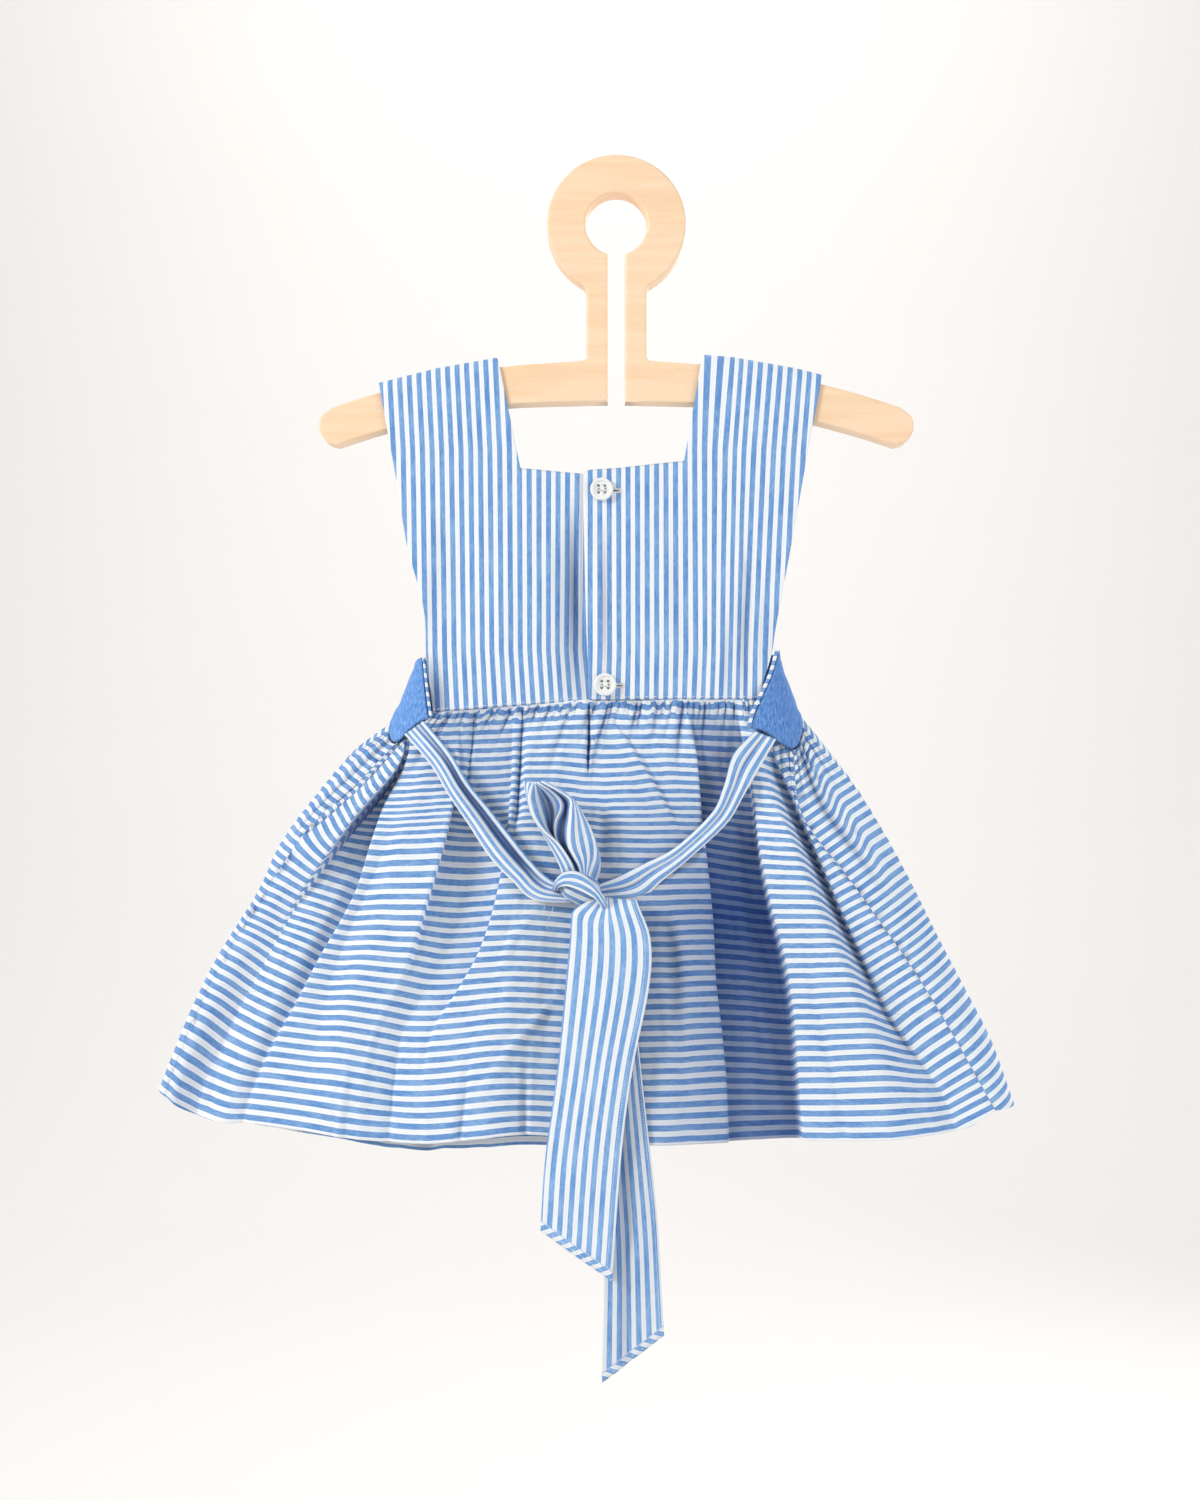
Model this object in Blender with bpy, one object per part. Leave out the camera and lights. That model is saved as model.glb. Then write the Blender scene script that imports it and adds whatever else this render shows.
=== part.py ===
"""A toddler's pinafore dress, buttoned down the back, on a flat wooden hanger with a keyhole ring.

The back of the dress faces -Y, +X is to the right of someone who looks at it, and +Z is up.
The origin is the top of the hole in the hanger's ring, where a nail carries it, half way through
the board.  The tables are in millimetres; a share runs from 0 at a curve's start to 1 at its end.
"""
import math
from collections import namedtuple

import bmesh
import bpy
import numpy as np
from mathutils import Matrix

MM = 0.001

# ---- driving sizes, in millimetres ----
BOARD = 16.0            # thickness of the hanger's board
BOARD_EASE = 2.6        # rounding along the board's edges
RING_RADIUS = 38.8      # outside of the hanger's ring
HOLE_RADIUS = 17.2      # hole in the ring
NECK_HALF = 16.8        # half the width of the stem under the ring
NECK_FILLET = 5.0       # hollow corner between ring and stem
ARM_FILLET = 2.7        # hollow corner between stem and arm
SLOT_HALF = 4.85        # half the width of the slot from the hole to the lower edge
CLOTH = 1.2             # thickness of a cloth wall
TIE_CLOTH = 1.0         # thickness of the tie's wall
SEAM_GAP = 0.6          # between the middles of two walls that meet edge to edge
LAP_STEP = 0.90         # each layer's shift where the right back laps over the left
STRAP_OVER_ARM = 4.5    # middle of the strap above the top of the hanger's arm
STRAP_ROUND = 7.0       # radius of the strap where it turns over the arm
STRAP_SIDE = 9.2        # middle of the strap from the board's mid plane
WAIST_DEPTH = 14.0      # middle of back and front from the mid plane at the waist
FLARE_TOP = -125.0      # height where back and front start to part
FLARE_LENGTH = 160.0    # and the drop over which they reach the waist's depth
LAP_TAPER = 22.0        # width over which a lapped layer comes back to its own plane
LAP_LEFT_X = -45.0      # where that starts on the left back
LAP_RIGHT_X = 10.0      # and on the right back
BUTTON_HOLE = 0.8       # radius of a thread hole
BUTTON_PITCH = 1.55     # thread hole from the button's centre, along X and Z
BUTTON_LIFT = 0.5       # button's back above the cloth
BUTTON_STEPS = 24
BUTTON_PLACES = (("button_upper", -8.2, -165.6), ("button_lower", -6.4, -274.1))
BINDING_WIDTH = 2.9
BINDING_ROOM = 1.1      # from the binding's far edge to the middle of the wing's first row
SIDE_SEAM_SHIFT = 0.80  # each skirt panel's edge from the middle of the side seam
FINE_COLUMNS = 100      # across a skirt panel at the gathers
COARSE_COLUMNS = 50     # across a skirt panel lower down
FINE_LEVELS = (0.0, 0.05, 0.11, 0.18, 0.26)
COARSE_LEVELS = (0.36, 0.48, 0.61, 0.74, 0.87, 1.0)
STRIP_STEPS = {"left": 3, "right": 5}   # columns of the front skirt that wrap round each side
BACK_CALM = 0.035       # share of the back skirt beside a side seam where folds fade out
FRONT_CALM = 0.06       # the same on the front skirt
FRONT_BELLY = 4.5       # how far the front skirt rounds out between waist and hem
GATHERS = 24            # gathers in each skirt panel
GATHER_RISE = 1.25
GATHER_LENGTH = 0.26    # mean share of the length that a gather runs down
KNOT_CENTRE = (-18.9, -35.0, -384.8)
KNOT_HALF = (14.5, 8.5, 10.0)
KNOT_TILT = math.radians(24.0)
KNOT_ROOM = 0.35        # clearance cut round the knot
KNOT_RIDGE = 0.05       # height of the wraps round the knot, as a share of its size
KNOT_FULLNESS = 0.8     # below 1 for ends blunter than an ellipsoid's
KNOT_ROWS = 10
KNOT_COLUMNS = 20
LOOP_STEPS = 28
LOOP_COLUMNS = 4
BODICE_ROWS = 8
STRAP_STEPS = 4         # steps up a strap's flat part and again over its turn

Side = namedtuple("Side", "share x")
Plan = namedtuple("Plan", "share x z")
Edge = namedtuple("Edge", "share x y z")
Fold = namedtuple("Fold", "top hem left right rise start stop")
Crease = namedtuple("Crease", "x z to_x to_z width rise")
Band = namedtuple("Band", "share left_x left_z right_x right_z y swell")
Level = namedtuple("Level", "share out")
Ring = namedtuple("Ring", "radius height")

# ---- hanger outline: top and lower edge of the left arm, from stem to tip ----
ARM_TOP = (
    Plan(0.00, -19.5, -93.2),
    Plan(0.30, -65.4, -96.9),
    Plan(0.55, -100.5, -103.1),
    Plan(0.80, -133.4, -111.4),
    Plan(1.00, -157.9, -119.2),
)
ARM_TIP = (
    Plan(0.00, -157.9, -119.2),
    Plan(0.22, -164.0, -123.7),
    Plan(0.42, -165.9, -128.7),
    Plan(0.62, -164.6, -134.2),
    Plan(0.80, -161.2, -138.7),
    Plan(1.00, -155.7, -140.6),
)
ARM_BOTTOM = (
    Plan(0.00, -155.7, -140.6),
    Plan(0.25, -131.2, -132.8),
    Plan(0.50, -98.3, -124.5),
    Plan(0.75, -62.1, -118.1),
    Plan(1.00, -SLOT_HALF, -116.2),
)

# ---- upright edges of the bodice, from waist (0) to neck level (1) ----
LEFT_ARMHOLE = (
    Side(0.00, -101.6), Side(0.20, -105.3), Side(0.42, -106.9),
    Side(0.69, -116.4), Side(0.94, -121.9), Side(1.00, -123.4),
)
LEFT_NECK = (Side(0.0, -54.5), Side(1.0, -53.4))
LEFT_LAP = (Side(0.0, 7.5), Side(1.0, 4.7))
RIGHT_LAP = (Side(0.00, -15.3), Side(0.35, -16.9), Side(0.70, -18.0), Side(1.00, -18.6))
RIGHT_NECK = (Side(0.0, 38.5), Side(1.0, 37.6))
RIGHT_ARMHOLE = (
    Side(0.00, 79.0), Side(0.11, 83.0), Side(0.20, 86.2), Side(0.29, 88.0),
    Side(0.58, 95.3), Side(0.76, 99.7), Side(1.00, 105.3),
)
NECK_LEVEL = (
    Plan(0.0, -123.4, -154.5), Plan(0.3, -53.4, -153.4), Plan(0.5, -18.6, -156.5),
    Plan(0.6, 4.7, -155.0), Plan(0.8, 37.6, -149.4), Plan(1.0, 105.3, -150.5),
)
WAIST = (
    Plan(0.0, -101.6, -289.6), Plan(0.2, -54.5, -286.0), Plan(0.5, -15.3, -282.9),
    Plan(0.8, 38.5, -282.4), Plan(1.0, 79.0, -282.5),
)
STRAP_RIDGE_X = {"left": (-133.1, -67.0), "right": (48.7, 115.4)}   # ends of each strap's ridge
FRONT_NECK_DROP = 6.0   # the front neckline lies this much lower
FRONT_INSET = 1.5       # the front's armholes lie this much further in

# ---- pulls in the bodice's back: a valley from one point to another ----
BODICE_CREASES = (
    Crease(-27.0, -172.0, -21.0, -262.0, 9.0, -1.8),
    Crease(-40.0, -205.0, -30.0, -275.0, 8.0, -1.2),
    Crease(72.0, -205.0, 70.0, -280.0, 7.0, -1.8),
    Crease(84.0, -222.0, 80.0, -272.0, 6.0, 1.6),
    Crease(-84.0, -180.0, -92.0, -270.0, 12.0, -1.2),
)

# ---- a button's section from its back to its dished face ----
BUTTON_PROFILE = (
    Ring(5.10, 0.0), Ring(6.10, 0.5), Ring(6.35, 1.3), Ring(6.00, 2.2),
    Ring(5.40, 2.6), Ring(4.70, 2.3), Ring(4.10, 1.7),
)

# ---- wings: free back edge, outer fold and front edge, from top to bottom ----
WING_LEFT = {
    "back": (
        Edge(0.0, -108.0, -10.5, -259.8),
        Edge(0.3, -109.2, -12.5, -269.1),
        Edge(0.6, -107.2, -14.5, -278.9),
        Edge(0.8, -105.3, -16.0, -285.8),
        Edge(1.0, -102.4, -17.0, -292.0),
    ),
    "fold": (
        Edge(0.0, -112.0, 0.0, -261.5),
        Edge(0.5, -118.5, 0.0, -278.0),
        Edge(1.0, -127.2, -0.5, -294.9),
    ),
    "front": (Edge(0.0, -104.6, 12.0, -258.5), Edge(1.0, -101.5, 14.0, -289.6)),
    "corner_drop": 12.0,
    "side": -1.0,
}
WING_RIGHT = {
    "back": (
        Edge(0.0, 87.9, -13.5, -254.5),
        Edge(0.3, 83.9, -15.0, -268.0),
        Edge(0.6, 78.5, -16.6, -279.8),
        Edge(0.8, 74.4, -17.8, -288.5),
        Edge(1.0, 71.7, -18.5, -297.9),
    ),
    "fold": (
        Edge(0.0, 89.6, 0.0, -257.5),
        Edge(0.5, 97.0, 0.0, -275.0),
        Edge(1.0, 104.2, -1.0, -292.4),
    ),
    "front": (Edge(0.0, 86.0, 12.0, -255.5), Edge(1.0, 78.2, 14.0, -282.6)),
    "corner_drop": 14.5,
    "side": 1.0,
}
WING_CORNER = 0.30      # where the skirt's side seam meets the wing, round the wing's section
WING_CORNER_SPREAD = 0.30
WING_COLUMNS = 12
WING_SEAM_DROP = 1.3    # from a wing's slanted lower edge straight down to the skirt's edge
WING_ROWS = 5
BINDING_STEPS = 10
NEARBY = 0.02           # step along a curve that gives its direction

# ---- skirt: side seams and outlines from wing to hem, and the two hems ----
SEAM_LEFT = (
    Edge(0.13, -144.1, -12.0, -329.1),
    Edge(0.25, -163.0, -12.0, -345.6),
    Edge(0.37, -176.0, -11.0, -360.0),
    Edge(0.48, -194.0, -10.0, -387.0),
    Edge(0.65, -217.0, -9.0, -424.0),
    Edge(0.80, -233.0, -8.0, -455.0),
    Edge(1.00, -251.0, -8.0, -497.5),
)
OUTLINE_LEFT = (
    Edge(0.12, -148.7, -1.0, -314.2),
    Edge(0.27, -172.0, -1.0, -341.0),
    Edge(0.39, -188.8, 0.0, -364.4),
    Edge(0.51, -200.5, 0.0, -389.5),
    Edge(0.68, -222.3, 0.0, -424.6),
    Edge(0.82, -237.4, 0.0, -454.7),
    Edge(1.00, -256.0, 0.0, -500.5),
)
SEAM_RIGHT = (
    Edge(0.16, 102.2, -17.0, -345.5),
    Edge(0.36, 128.6, -20.0, -381.9),
    Edge(0.67, 170.0, -19.0, -441.4),
    Edge(1.00, 209.3, -17.0, -506.5),
)
OUTLINE_RIGHT = (
    Edge(0.17, 130.3, -2.0, -327.5),
    Edge(0.30, 147.0, -2.0, -352.6),
    Edge(0.44, 163.8, -1.0, -382.8),
    Edge(0.59, 180.5, -1.0, -416.3),
    Edge(0.74, 197.3, 0.0, -448.1),
    Edge(0.86, 210.6, 0.0, -474.8),
    Edge(1.00, 222.4, 0.0, -508.3),
)
WAIST_SHARE = 0.10      # share of the back's width on each side that hangs from a wing
WING_LAP = 3.0          # how far the back skirt keeps behind the wings and their bindings
HEM_BACK = (
    Edge(0.08, -215.0, -18.0, -512.5),
    Edge(0.18, -169.0, -24.0, -518.0),
    Edge(0.30, -113.0, -27.0, -526.0),
    Edge(0.43, -53.0, -26.0, -521.5),
    Edge(0.58, 16.0, -25.0, -526.5),
    Edge(0.70, 71.0, -26.0, -524.0),
    Edge(0.82, 127.0, -25.0, -523.5),
    Edge(0.93, 178.0, -22.0, -519.0),
)
HEM_FRONT = (
    Edge(0.03, -244.0, 9.0, -507.5),
    Edge(0.12, -198.0, 18.0, -523.6),
    Edge(0.22, -152.0, 22.0, -534.4),
    Edge(0.32, -103.0, 23.0, -537.8),
    Edge(0.46, -36.0, 23.0, -536.7),
    Edge(0.60, 31.0, 22.0, -533.0),
    Edge(0.75, 102.0, 22.0, -530.0),
    Edge(0.88, 165.0, 19.0, -523.0),
    Edge(0.97, 210.0, 9.0, -512.5),
)

# ---- folds of the skirt: place at waist and hem, width each side, rise at the hem in mm ----
BACK_FOLDS = (
    Fold(0.02, 0.085, 0.040, 0.045, 7.0, 0.05, 2.0),
    Fold(0.06, 0.165, 0.050, 0.020, -10.0, 0.08, 2.0),
    Fold(0.12, 0.245, 0.045, 0.060, 8.0, 0.10, 2.0),
    Fold(0.32, 0.305, 0.055, 0.016, -7.5, 0.00, 0.85),
    Fold(0.37, 0.370, 0.040, 0.060, 6.0, 0.05, 2.0),
    Fold(0.49, 0.500, 0.022, 0.022, -4.0, 0.00, 0.30),
    Fold(0.60, 0.700, 0.020, 0.050, -5.0, 0.02, 0.55),
    Fold(0.745, 0.672, 0.085, 0.013, 9.0, 0.05, 2.0),
    Fold(0.80, 0.725, 0.040, 0.060, -8.5, 0.08, 2.0),
    Fold(0.90, 0.840, 0.050, 0.060, 7.5, 0.08, 2.0),
    Fold(0.975, 0.935, 0.050, 0.028, -9.5, 0.06, 2.0),
)
FRONT_FOLDS = (
    Fold(0.14, 0.10, 0.050, 0.050, -7.0, 0.10, 2.0),
    Fold(0.22, 0.20, 0.050, 0.060, 6.0, 0.05, 2.0),
    Fold(0.33, 0.31, 0.050, 0.030, -7.0, 0.06, 2.0),
    Fold(0.43, 0.42, 0.060, 0.060, 6.0, 0.10, 2.0),
    Fold(0.52, 0.53, 0.030, 0.050, -6.0, 0.02, 2.0),
    Fold(0.62, 0.63, 0.050, 0.050, 6.0, 0.08, 2.0),
    Fold(0.72, 0.74, 0.050, 0.030, -7.0, 0.05, 2.0),
    Fold(0.82, 0.84, 0.060, 0.050, 6.0, 0.10, 2.0),
    Fold(0.88, 0.92, 0.030, 0.035, -5.0, 0.10, 2.0),
)
FOLD_LIFT = 0.35        # how far a fold's rise also lifts the cloth, as a share of the rise
FOLD_GROWTH = 0.45      # share of the length over which a fold opens
FOLD_FADE = 0.20        # and over which one that stops short dies away
FOLD_NARROW = 0.45      # a fold's width at the waist, as a share of its width at the hem
LIFT_FULL = 0.20        # share of the length where that lift is whole

# ---- the tied sash: each band from the wing or the knot to its other end ----
SASH_LEFT = (
    Band(0.00, -117.4, -301.6, -106.8, -293.8, -16.2, 0.1),
    Band(0.13, -102.0, -319.0, -91.5, -312.0, -21.5, 0.6),
    Band(0.27, -92.4, -334.5, -81.6, -328.0, -24.5, 1.0),
    Band(0.42, -81.4, -350.8, -70.0, -342.0, -26.5, 1.0),
    Band(0.60, -68.8, -369.4, -58.0, -356.8, -29.2, 1.0),
    Band(0.75, -56.8, -382.0, -47.0, -370.6, -29.0, 0.9),
    Band(0.90, -44.8, -392.2, -36.6, -380.5, -30.0, 0.6),
    Band(1.00, -24.0, -393.5, -24.0, -386.0, -32.0, 0.2),
)
SASH_RIGHT = (
    Band(0.00, 88.2, -304.2, 76.4, -299.6, -17.9, 0.1),
    Band(0.13, 76.8, -322.8, 63.9, -312.6, -25.5, 0.5),
    Band(0.27, 69.6, -334.9, 58.2, -330.5, -29.0, 0.8),
    Band(0.42, 60.3, -350.0, 51.6, -344.7, -30.5, 1.0),
    Band(0.60, 40.4, -368.6, 31.6, -363.6, -31.6, 1.0),
    Band(0.78, 24.0, -382.5, 14.2, -372.6, -29.0, 0.8),
    Band(0.90, 12.5, -391.5, 1.0, -379.3, -26.5, 0.6),
    Band(1.00, -12.0, -392.5, -12.0, -384.5, -27.5, 0.2),
)
SASH_SECTION = (
    Level(0.00, 0.0), Level(0.15, 2.0), Level(0.35, 2.8), Level(0.55, 0.8),
    Level(0.70, -2.0), Level(0.84, -1.2), Level(1.00, 1.8),
)
FLAT_SECTION = (
    Level(0.00, 0.0), Level(0.25, 1.6), Level(0.50, 2.0), Level(0.75, 0.6), Level(1.00, 1.2),
)
TAIL_FRONT = (
    Band(0.00, -24.0, -389.0, 7.0, -390.0, -39.5, 1.0),
    Band(0.12, -25.5, -412.0, 18.0, -411.0, -40.5, 1.0),
    Band(0.28, -28.0, -437.9, 17.6, -436.0, -40.0, 0.9),
    Band(0.48, -32.3, -481.0, 8.6, -481.0, -38.5, 0.8),
    Band(0.72, -38.8, -527.4, 2.7, -525.0, -37.0, 0.8),
    Band(1.00, -41.5, -567.2, -2.7, -594.7, -36.0, 0.6),
)
TAIL_BACK = (
    Band(0.00, -9.0, -390.0, 5.0, -392.0, -32.0, 0.3),
    Band(0.20, -10.0, -432.0, 8.0, -432.0, -32.0, 0.6),
    Band(0.45, -10.5, -488.0, 13.4, -484.0, -31.5, 0.8),
    Band(0.62, -9.5, -530.0, 18.0, -525.0, -31.0, 1.0),
    Band(0.80, -7.0, -590.0, 22.4, -567.0, -30.5, 1.0),
    Band(1.00, -8.1, -652.2, 25.9, -626.2, -30.5, 0.8),
)
TAIL_SECTION = (
    Level(0.00, 0.0), Level(0.20, 1.2), Level(0.50, 1.6), Level(0.80, 1.1), Level(1.00, 0.0),
)
FOLDED_SECTION = (
    Level(0.00, 0.0), Level(0.25, 1.4), Level(0.45, -0.6), Level(0.60, 0.8), Level(1.00, 0.2),
)
LOOP_NEAR_EDGE = (
    Edge(0.00, -27.5, -37.0, -381.0),
    Edge(0.12, -33.0, -41.0, -367.6),
    Edge(0.25, -40.0, -44.0, -356.2),
    Edge(0.36, -45.4, -45.0, -346.5),
    Edge(0.46, -49.0, -45.0, -334.5),
    Edge(0.52, -47.0, -44.5, -328.6),
    Edge(0.59, -39.5, -44.0, -329.6),
    Edge(0.68, -27.5, -43.0, -337.3),
    Edge(0.80, -25.6, -42.0, -352.5),
    Edge(0.92, -20.8, -39.5, -371.0),
    Edge(1.00, -17.6, -37.0, -383.0),
)
LOOP_FAR_EDGE = (
    Edge(0.00, -24.0, -30.5, -380.0),
    Edge(0.12, -28.0, -29.0, -364.0),
    Edge(0.25, -32.0, -28.5, -353.0),
    Edge(0.36, -36.5, -29.0, -343.0),
    Edge(0.46, -41.5, -30.0, -332.0),
    Edge(0.52, -40.5, -31.0, -327.0),
    Edge(0.59, -33.0, -31.0, -329.0),
    Edge(0.68, -22.0, -30.5, -338.6),
    Edge(0.80, -13.5, -30.0, -356.2),
    Edge(0.92, -10.5, -30.0, -369.0),
    Edge(1.00, -12.5, -31.5, -382.0),
)

# ---- finishes: colour, roughness ----
FINISHES = {
    "striped_cotton": ((0.34, 0.50, 0.76, 1.0), 0.88),
    "blue_chambray": ((0.12, 0.26, 0.58, 1.0), 0.88),
    "button_resin": ((0.82, 0.84, 0.80, 1.0), 0.35),
    "maple_wood": ((0.90, 0.67, 0.42, 1.0), 0.45),
}


def clear_scene():
    for item in list(bpy.data.objects):
        bpy.data.objects.remove(item, do_unlink=True)


def finish(name):
    """The finish's material, made once."""
    material = bpy.data.materials.get(name)
    if material is None:
        colour, roughness = FINISHES[name]
        material = bpy.data.materials.new(name)
        material.use_nodes = True
        shader = material.node_tree.nodes["Principled BSDF"]
        shader.inputs["Base Color"].default_value = colour
        shader.inputs["Roughness"].default_value = roughness
        material.diffuse_color = colour
    return material


def place(name, mesh, material):
    thing = bpy.data.objects.new(name, mesh)
    bpy.context.scene.collection.objects.link(thing)
    mesh.materials.append(finish(material))
    mesh.shade_smooth()
    return thing


def ease(share):
    """0 to 1 with soft ends."""
    share = min(max(share, 0.0), 1.0)
    return share * share * (3.0 - 2.0 * share)


def blend(first, second, share):
    return first + (second - first) * share


def row_at(table, share):
    """Index of the table row that starts the stretch which holds the share."""
    index = 0
    while index < len(table) - 2 and table[index + 1][0] <= share:
        index += 1
    return index


def straight(table, share):
    """The table's other columns at a share, on straight runs between rows."""
    index = row_at(table, share)
    low, high = table[index], table[index + 1]
    part = min(max((share - low[0]) / (high[0] - low[0]), 0.0), 1.0)
    return blend(np.array(low[1:], float), np.array(high[1:], float), part)


def smooth(table, share):
    """The table's other columns at a share, on one smooth curve through the rows."""
    index = row_at(table, share)
    low, high = table[index], table[index + 1]
    before = table[max(index - 1, 0)]
    after = table[min(index + 2, len(table) - 1)]
    span = high[0] - low[0]
    part = min(max((share - low[0]) / span, 0.0), 1.0)
    start, end = np.array(low[1:], float), np.array(high[1:], float)
    slope_in = (end - np.array(before[1:], float)) / (high[0] - before[0]) * span
    slope_out = (np.array(after[1:], float) - start) / (after[0] - low[0]) * span
    square, cube = part * part, part * part * part
    return (start * (2 * cube - 3 * square + 1) + slope_in * (cube - 2 * square + part)
            + end * (3 * square - 2 * cube) + slope_out * (cube - square))


def by_x(table, x):
    """Height of a line of Plan rows at x."""
    return float(np.interp(x, [row.x for row in table], [row.z for row in table]))


def wall(name, rows, thickness, material, cutter=None):
    """Cloth wall: a sheet through rows of points, top to bottom, given its thickness both ways.

    A row may have None where the cloth is cut away.  Where a row has twice as many steps as the
    next, each of its neighbour's steps meets two of its own.
    """
    sheet = bmesh.new()
    verts = [[None if point is None else sheet.verts.new([c * MM for c in point]) for point in row]
             for row in rows]
    for upper, lower in zip(verts, verts[1:]):
        if len(upper) == len(lower):
            for left in range(len(upper) - 1):
                corners = (upper[left], lower[left], lower[left + 1], upper[left + 1])
                if None not in corners:
                    sheet.faces.new(corners)
        else:
            for left in range(len(lower) - 1):
                fine = upper[2 * left:2 * left + 3]
                sheet.faces.new((fine[0], lower[left], fine[1]))
                sheet.faces.new((fine[1], lower[left], lower[left + 1]))
                sheet.faces.new((fine[1], lower[left + 1], fine[2]))
    loose = [vert for vert in sheet.verts if not vert.link_faces]
    bmesh.ops.delete(sheet, geom=loose, context="VERTS")
    mesh = bpy.data.meshes.new(name)
    sheet.to_mesh(mesh)
    sheet.free()
    thing = place(name, mesh, material)
    solidify = thing.modifiers.new("cloth", "SOLIDIFY")
    solidify.thickness = thickness * MM
    solidify.offset = 0.0
    if cutter is not None:
        cut = thing.modifiers.new("room", "BOOLEAN")
        cut.operation = "DIFFERENCE"
        cut.solver = "EXACT"
        cut.object = cutter
    return thing


# ---- hanger ----
def arc(centre, radius, start, end, steps):
    """Points of an arc in the board's plane, angles in degrees from +X towards +Z."""
    angles = [math.radians(blend(start, end, step / steps)) for step in range(steps + 1)]
    return [(centre[0] + radius * math.cos(a), centre[1] + radius * math.sin(a)) for a in angles]


def hanger_outline():
    """Left half of the board's outline, from the ring's top round to the hole's top."""
    hole = (0.0, -HOLE_RADIUS)
    fillet_x = -NECK_HALF - NECK_FILLET
    fillet_drop = math.sqrt((RING_RADIUS + NECK_FILLET) ** 2 - fillet_x ** 2)
    ring_end = 180.0 + math.degrees(math.atan2(fillet_drop, -fillet_x))
    fillet = (fillet_x, hole[1] - fillet_drop)
    arm_root = ARM_TOP[0]
    slot_top = math.degrees(math.asin(SLOT_HALF / HOLE_RADIUS))
    points = arc(hole, RING_RADIUS, 90.0, ring_end, 20)
    points += arc(fillet, NECK_FILLET, ring_end - 180.0, 0.0, 4)[1:]
    corner = (-NECK_HALF - ARM_FILLET, arm_root.z + ARM_FILLET)
    points += arc(corner, ARM_FILLET, 0.0, -90.0, 3)
    for stretch, steps in ((ARM_TOP, 6), (ARM_TIP, 7), (ARM_BOTTOM, 6)):
        points += [tuple(smooth(stretch, step / steps)) for step in range(1, steps + 1)]
    points += arc(hole, HOLE_RADIUS, 270.0 - slot_top, 90.0, 14)
    return points


def make_hanger():
    """Board with the outline's left half mirrored to the right, its edges eased."""
    left = hanger_outline()
    right = [(-x, z) for x, z in reversed(left[1:-1])]
    loop = left[:-1] + [left[-1]] + right
    board = bmesh.new()
    face = board.faces.new([board.verts.new((x * MM, -BOARD / 2 * MM, z * MM)) for x, z in loop])
    swept = bmesh.ops.extrude_face_region(board, geom=[face])
    moved = [item for item in swept["geom"] if isinstance(item, bmesh.types.BMVert)]
    bmesh.ops.translate(board, verts=moved, vec=(0.0, BOARD * MM, 0.0))
    bmesh.ops.recalc_face_normals(board, faces=board.faces)
    mesh = bpy.data.meshes.new("hanger")
    board.to_mesh(mesh)
    board.free()
    thing = place("hanger", mesh, "maple_wood")
    bevel = thing.modifiers.new("eased edges", "BEVEL")
    bevel.width = BOARD_EASE * MM
    bevel.segments = 2
    bevel.limit_method = "ANGLE"
    bevel.angle_limit = math.radians(50.0)


# ---- bodice ----
def strap_side_to_waist(z, side):
    """Mid-surface of back (side -1) or front (side 1) at a height, with no creases."""
    return side * blend(STRAP_SIDE, WAIST_DEPTH, ease((FLARE_TOP - z) / FLARE_LENGTH))


def crease(x, z):
    """Rise of the bodice's creases at a point; a valley is negative."""
    total = 0.0
    for fold in BODICE_CREASES:
        run = np.array((fold.to_x - fold.x, fold.to_z - fold.z))
        offset = np.array((x - fold.x, z - fold.z))
        part = float(offset @ run / (run @ run))
        across = abs(float(np.cross(run, offset))) / float(np.linalg.norm(run))
        if 0.0 < part < 1.0 and across < fold.width:
            side_fade = math.cos(across / fold.width * math.pi / 2) ** 2
            total += fold.rise * math.sin(math.pi * part) * side_fade
    return total


def lap_shift(x, panel):
    """Shift of a layer where the two backs lie on each other."""
    if panel == "back_left":
        return LAP_STEP * ease((x - LAP_LEFT_X) / LAP_TAPER)
    if panel == "back_right":
        return -LAP_STEP * (1.0 - ease((x - LAP_RIGHT_X) / LAP_TAPER))
    return 0.0


def bodice_point(x, z, panel):
    if panel == "front":
        return (x, strap_side_to_waist(z, 1.0), z)
    return (x, strap_side_to_waist(z, -1.0) - crease(x, z) + lap_shift(x, panel), z)


def strap_rows(bottom_x, bottom_z, ridge_x, side):
    """One strap column from just above the neck level to the shoulder seam on the ridge."""
    ridge_z = by_x(tuple(reversed(ARM_TOP)), -abs(ridge_x)) + STRAP_OVER_ARM
    turn_z = ridge_z - STRAP_ROUND
    turn_length = STRAP_ROUND * math.pi / 2
    length = turn_z - bottom_z + turn_length
    flat = STRAP_SIDE - STRAP_ROUND
    column = []
    for step in range(1, STRAP_STEPS + 1):
        rise = (turn_z - bottom_z) * step / STRAP_STEPS
        z = bottom_z + rise
        column.append((blend(bottom_x, ridge_x, rise / length), strap_side_to_waist(z, side), z))
    for step in range(1, STRAP_STEPS + 1):
        angle = math.pi / 2 * step / STRAP_STEPS
        x = blend(bottom_x, ridge_x, (turn_z - bottom_z + STRAP_ROUND * angle) / length)
        y = side * (flat + STRAP_ROUND * math.cos(angle))
        column.append((x, y, turn_z + STRAP_ROUND * math.sin(angle)))
    column.append((ridge_x, side * SEAM_GAP / 2, ridge_z))
    return column


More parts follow.
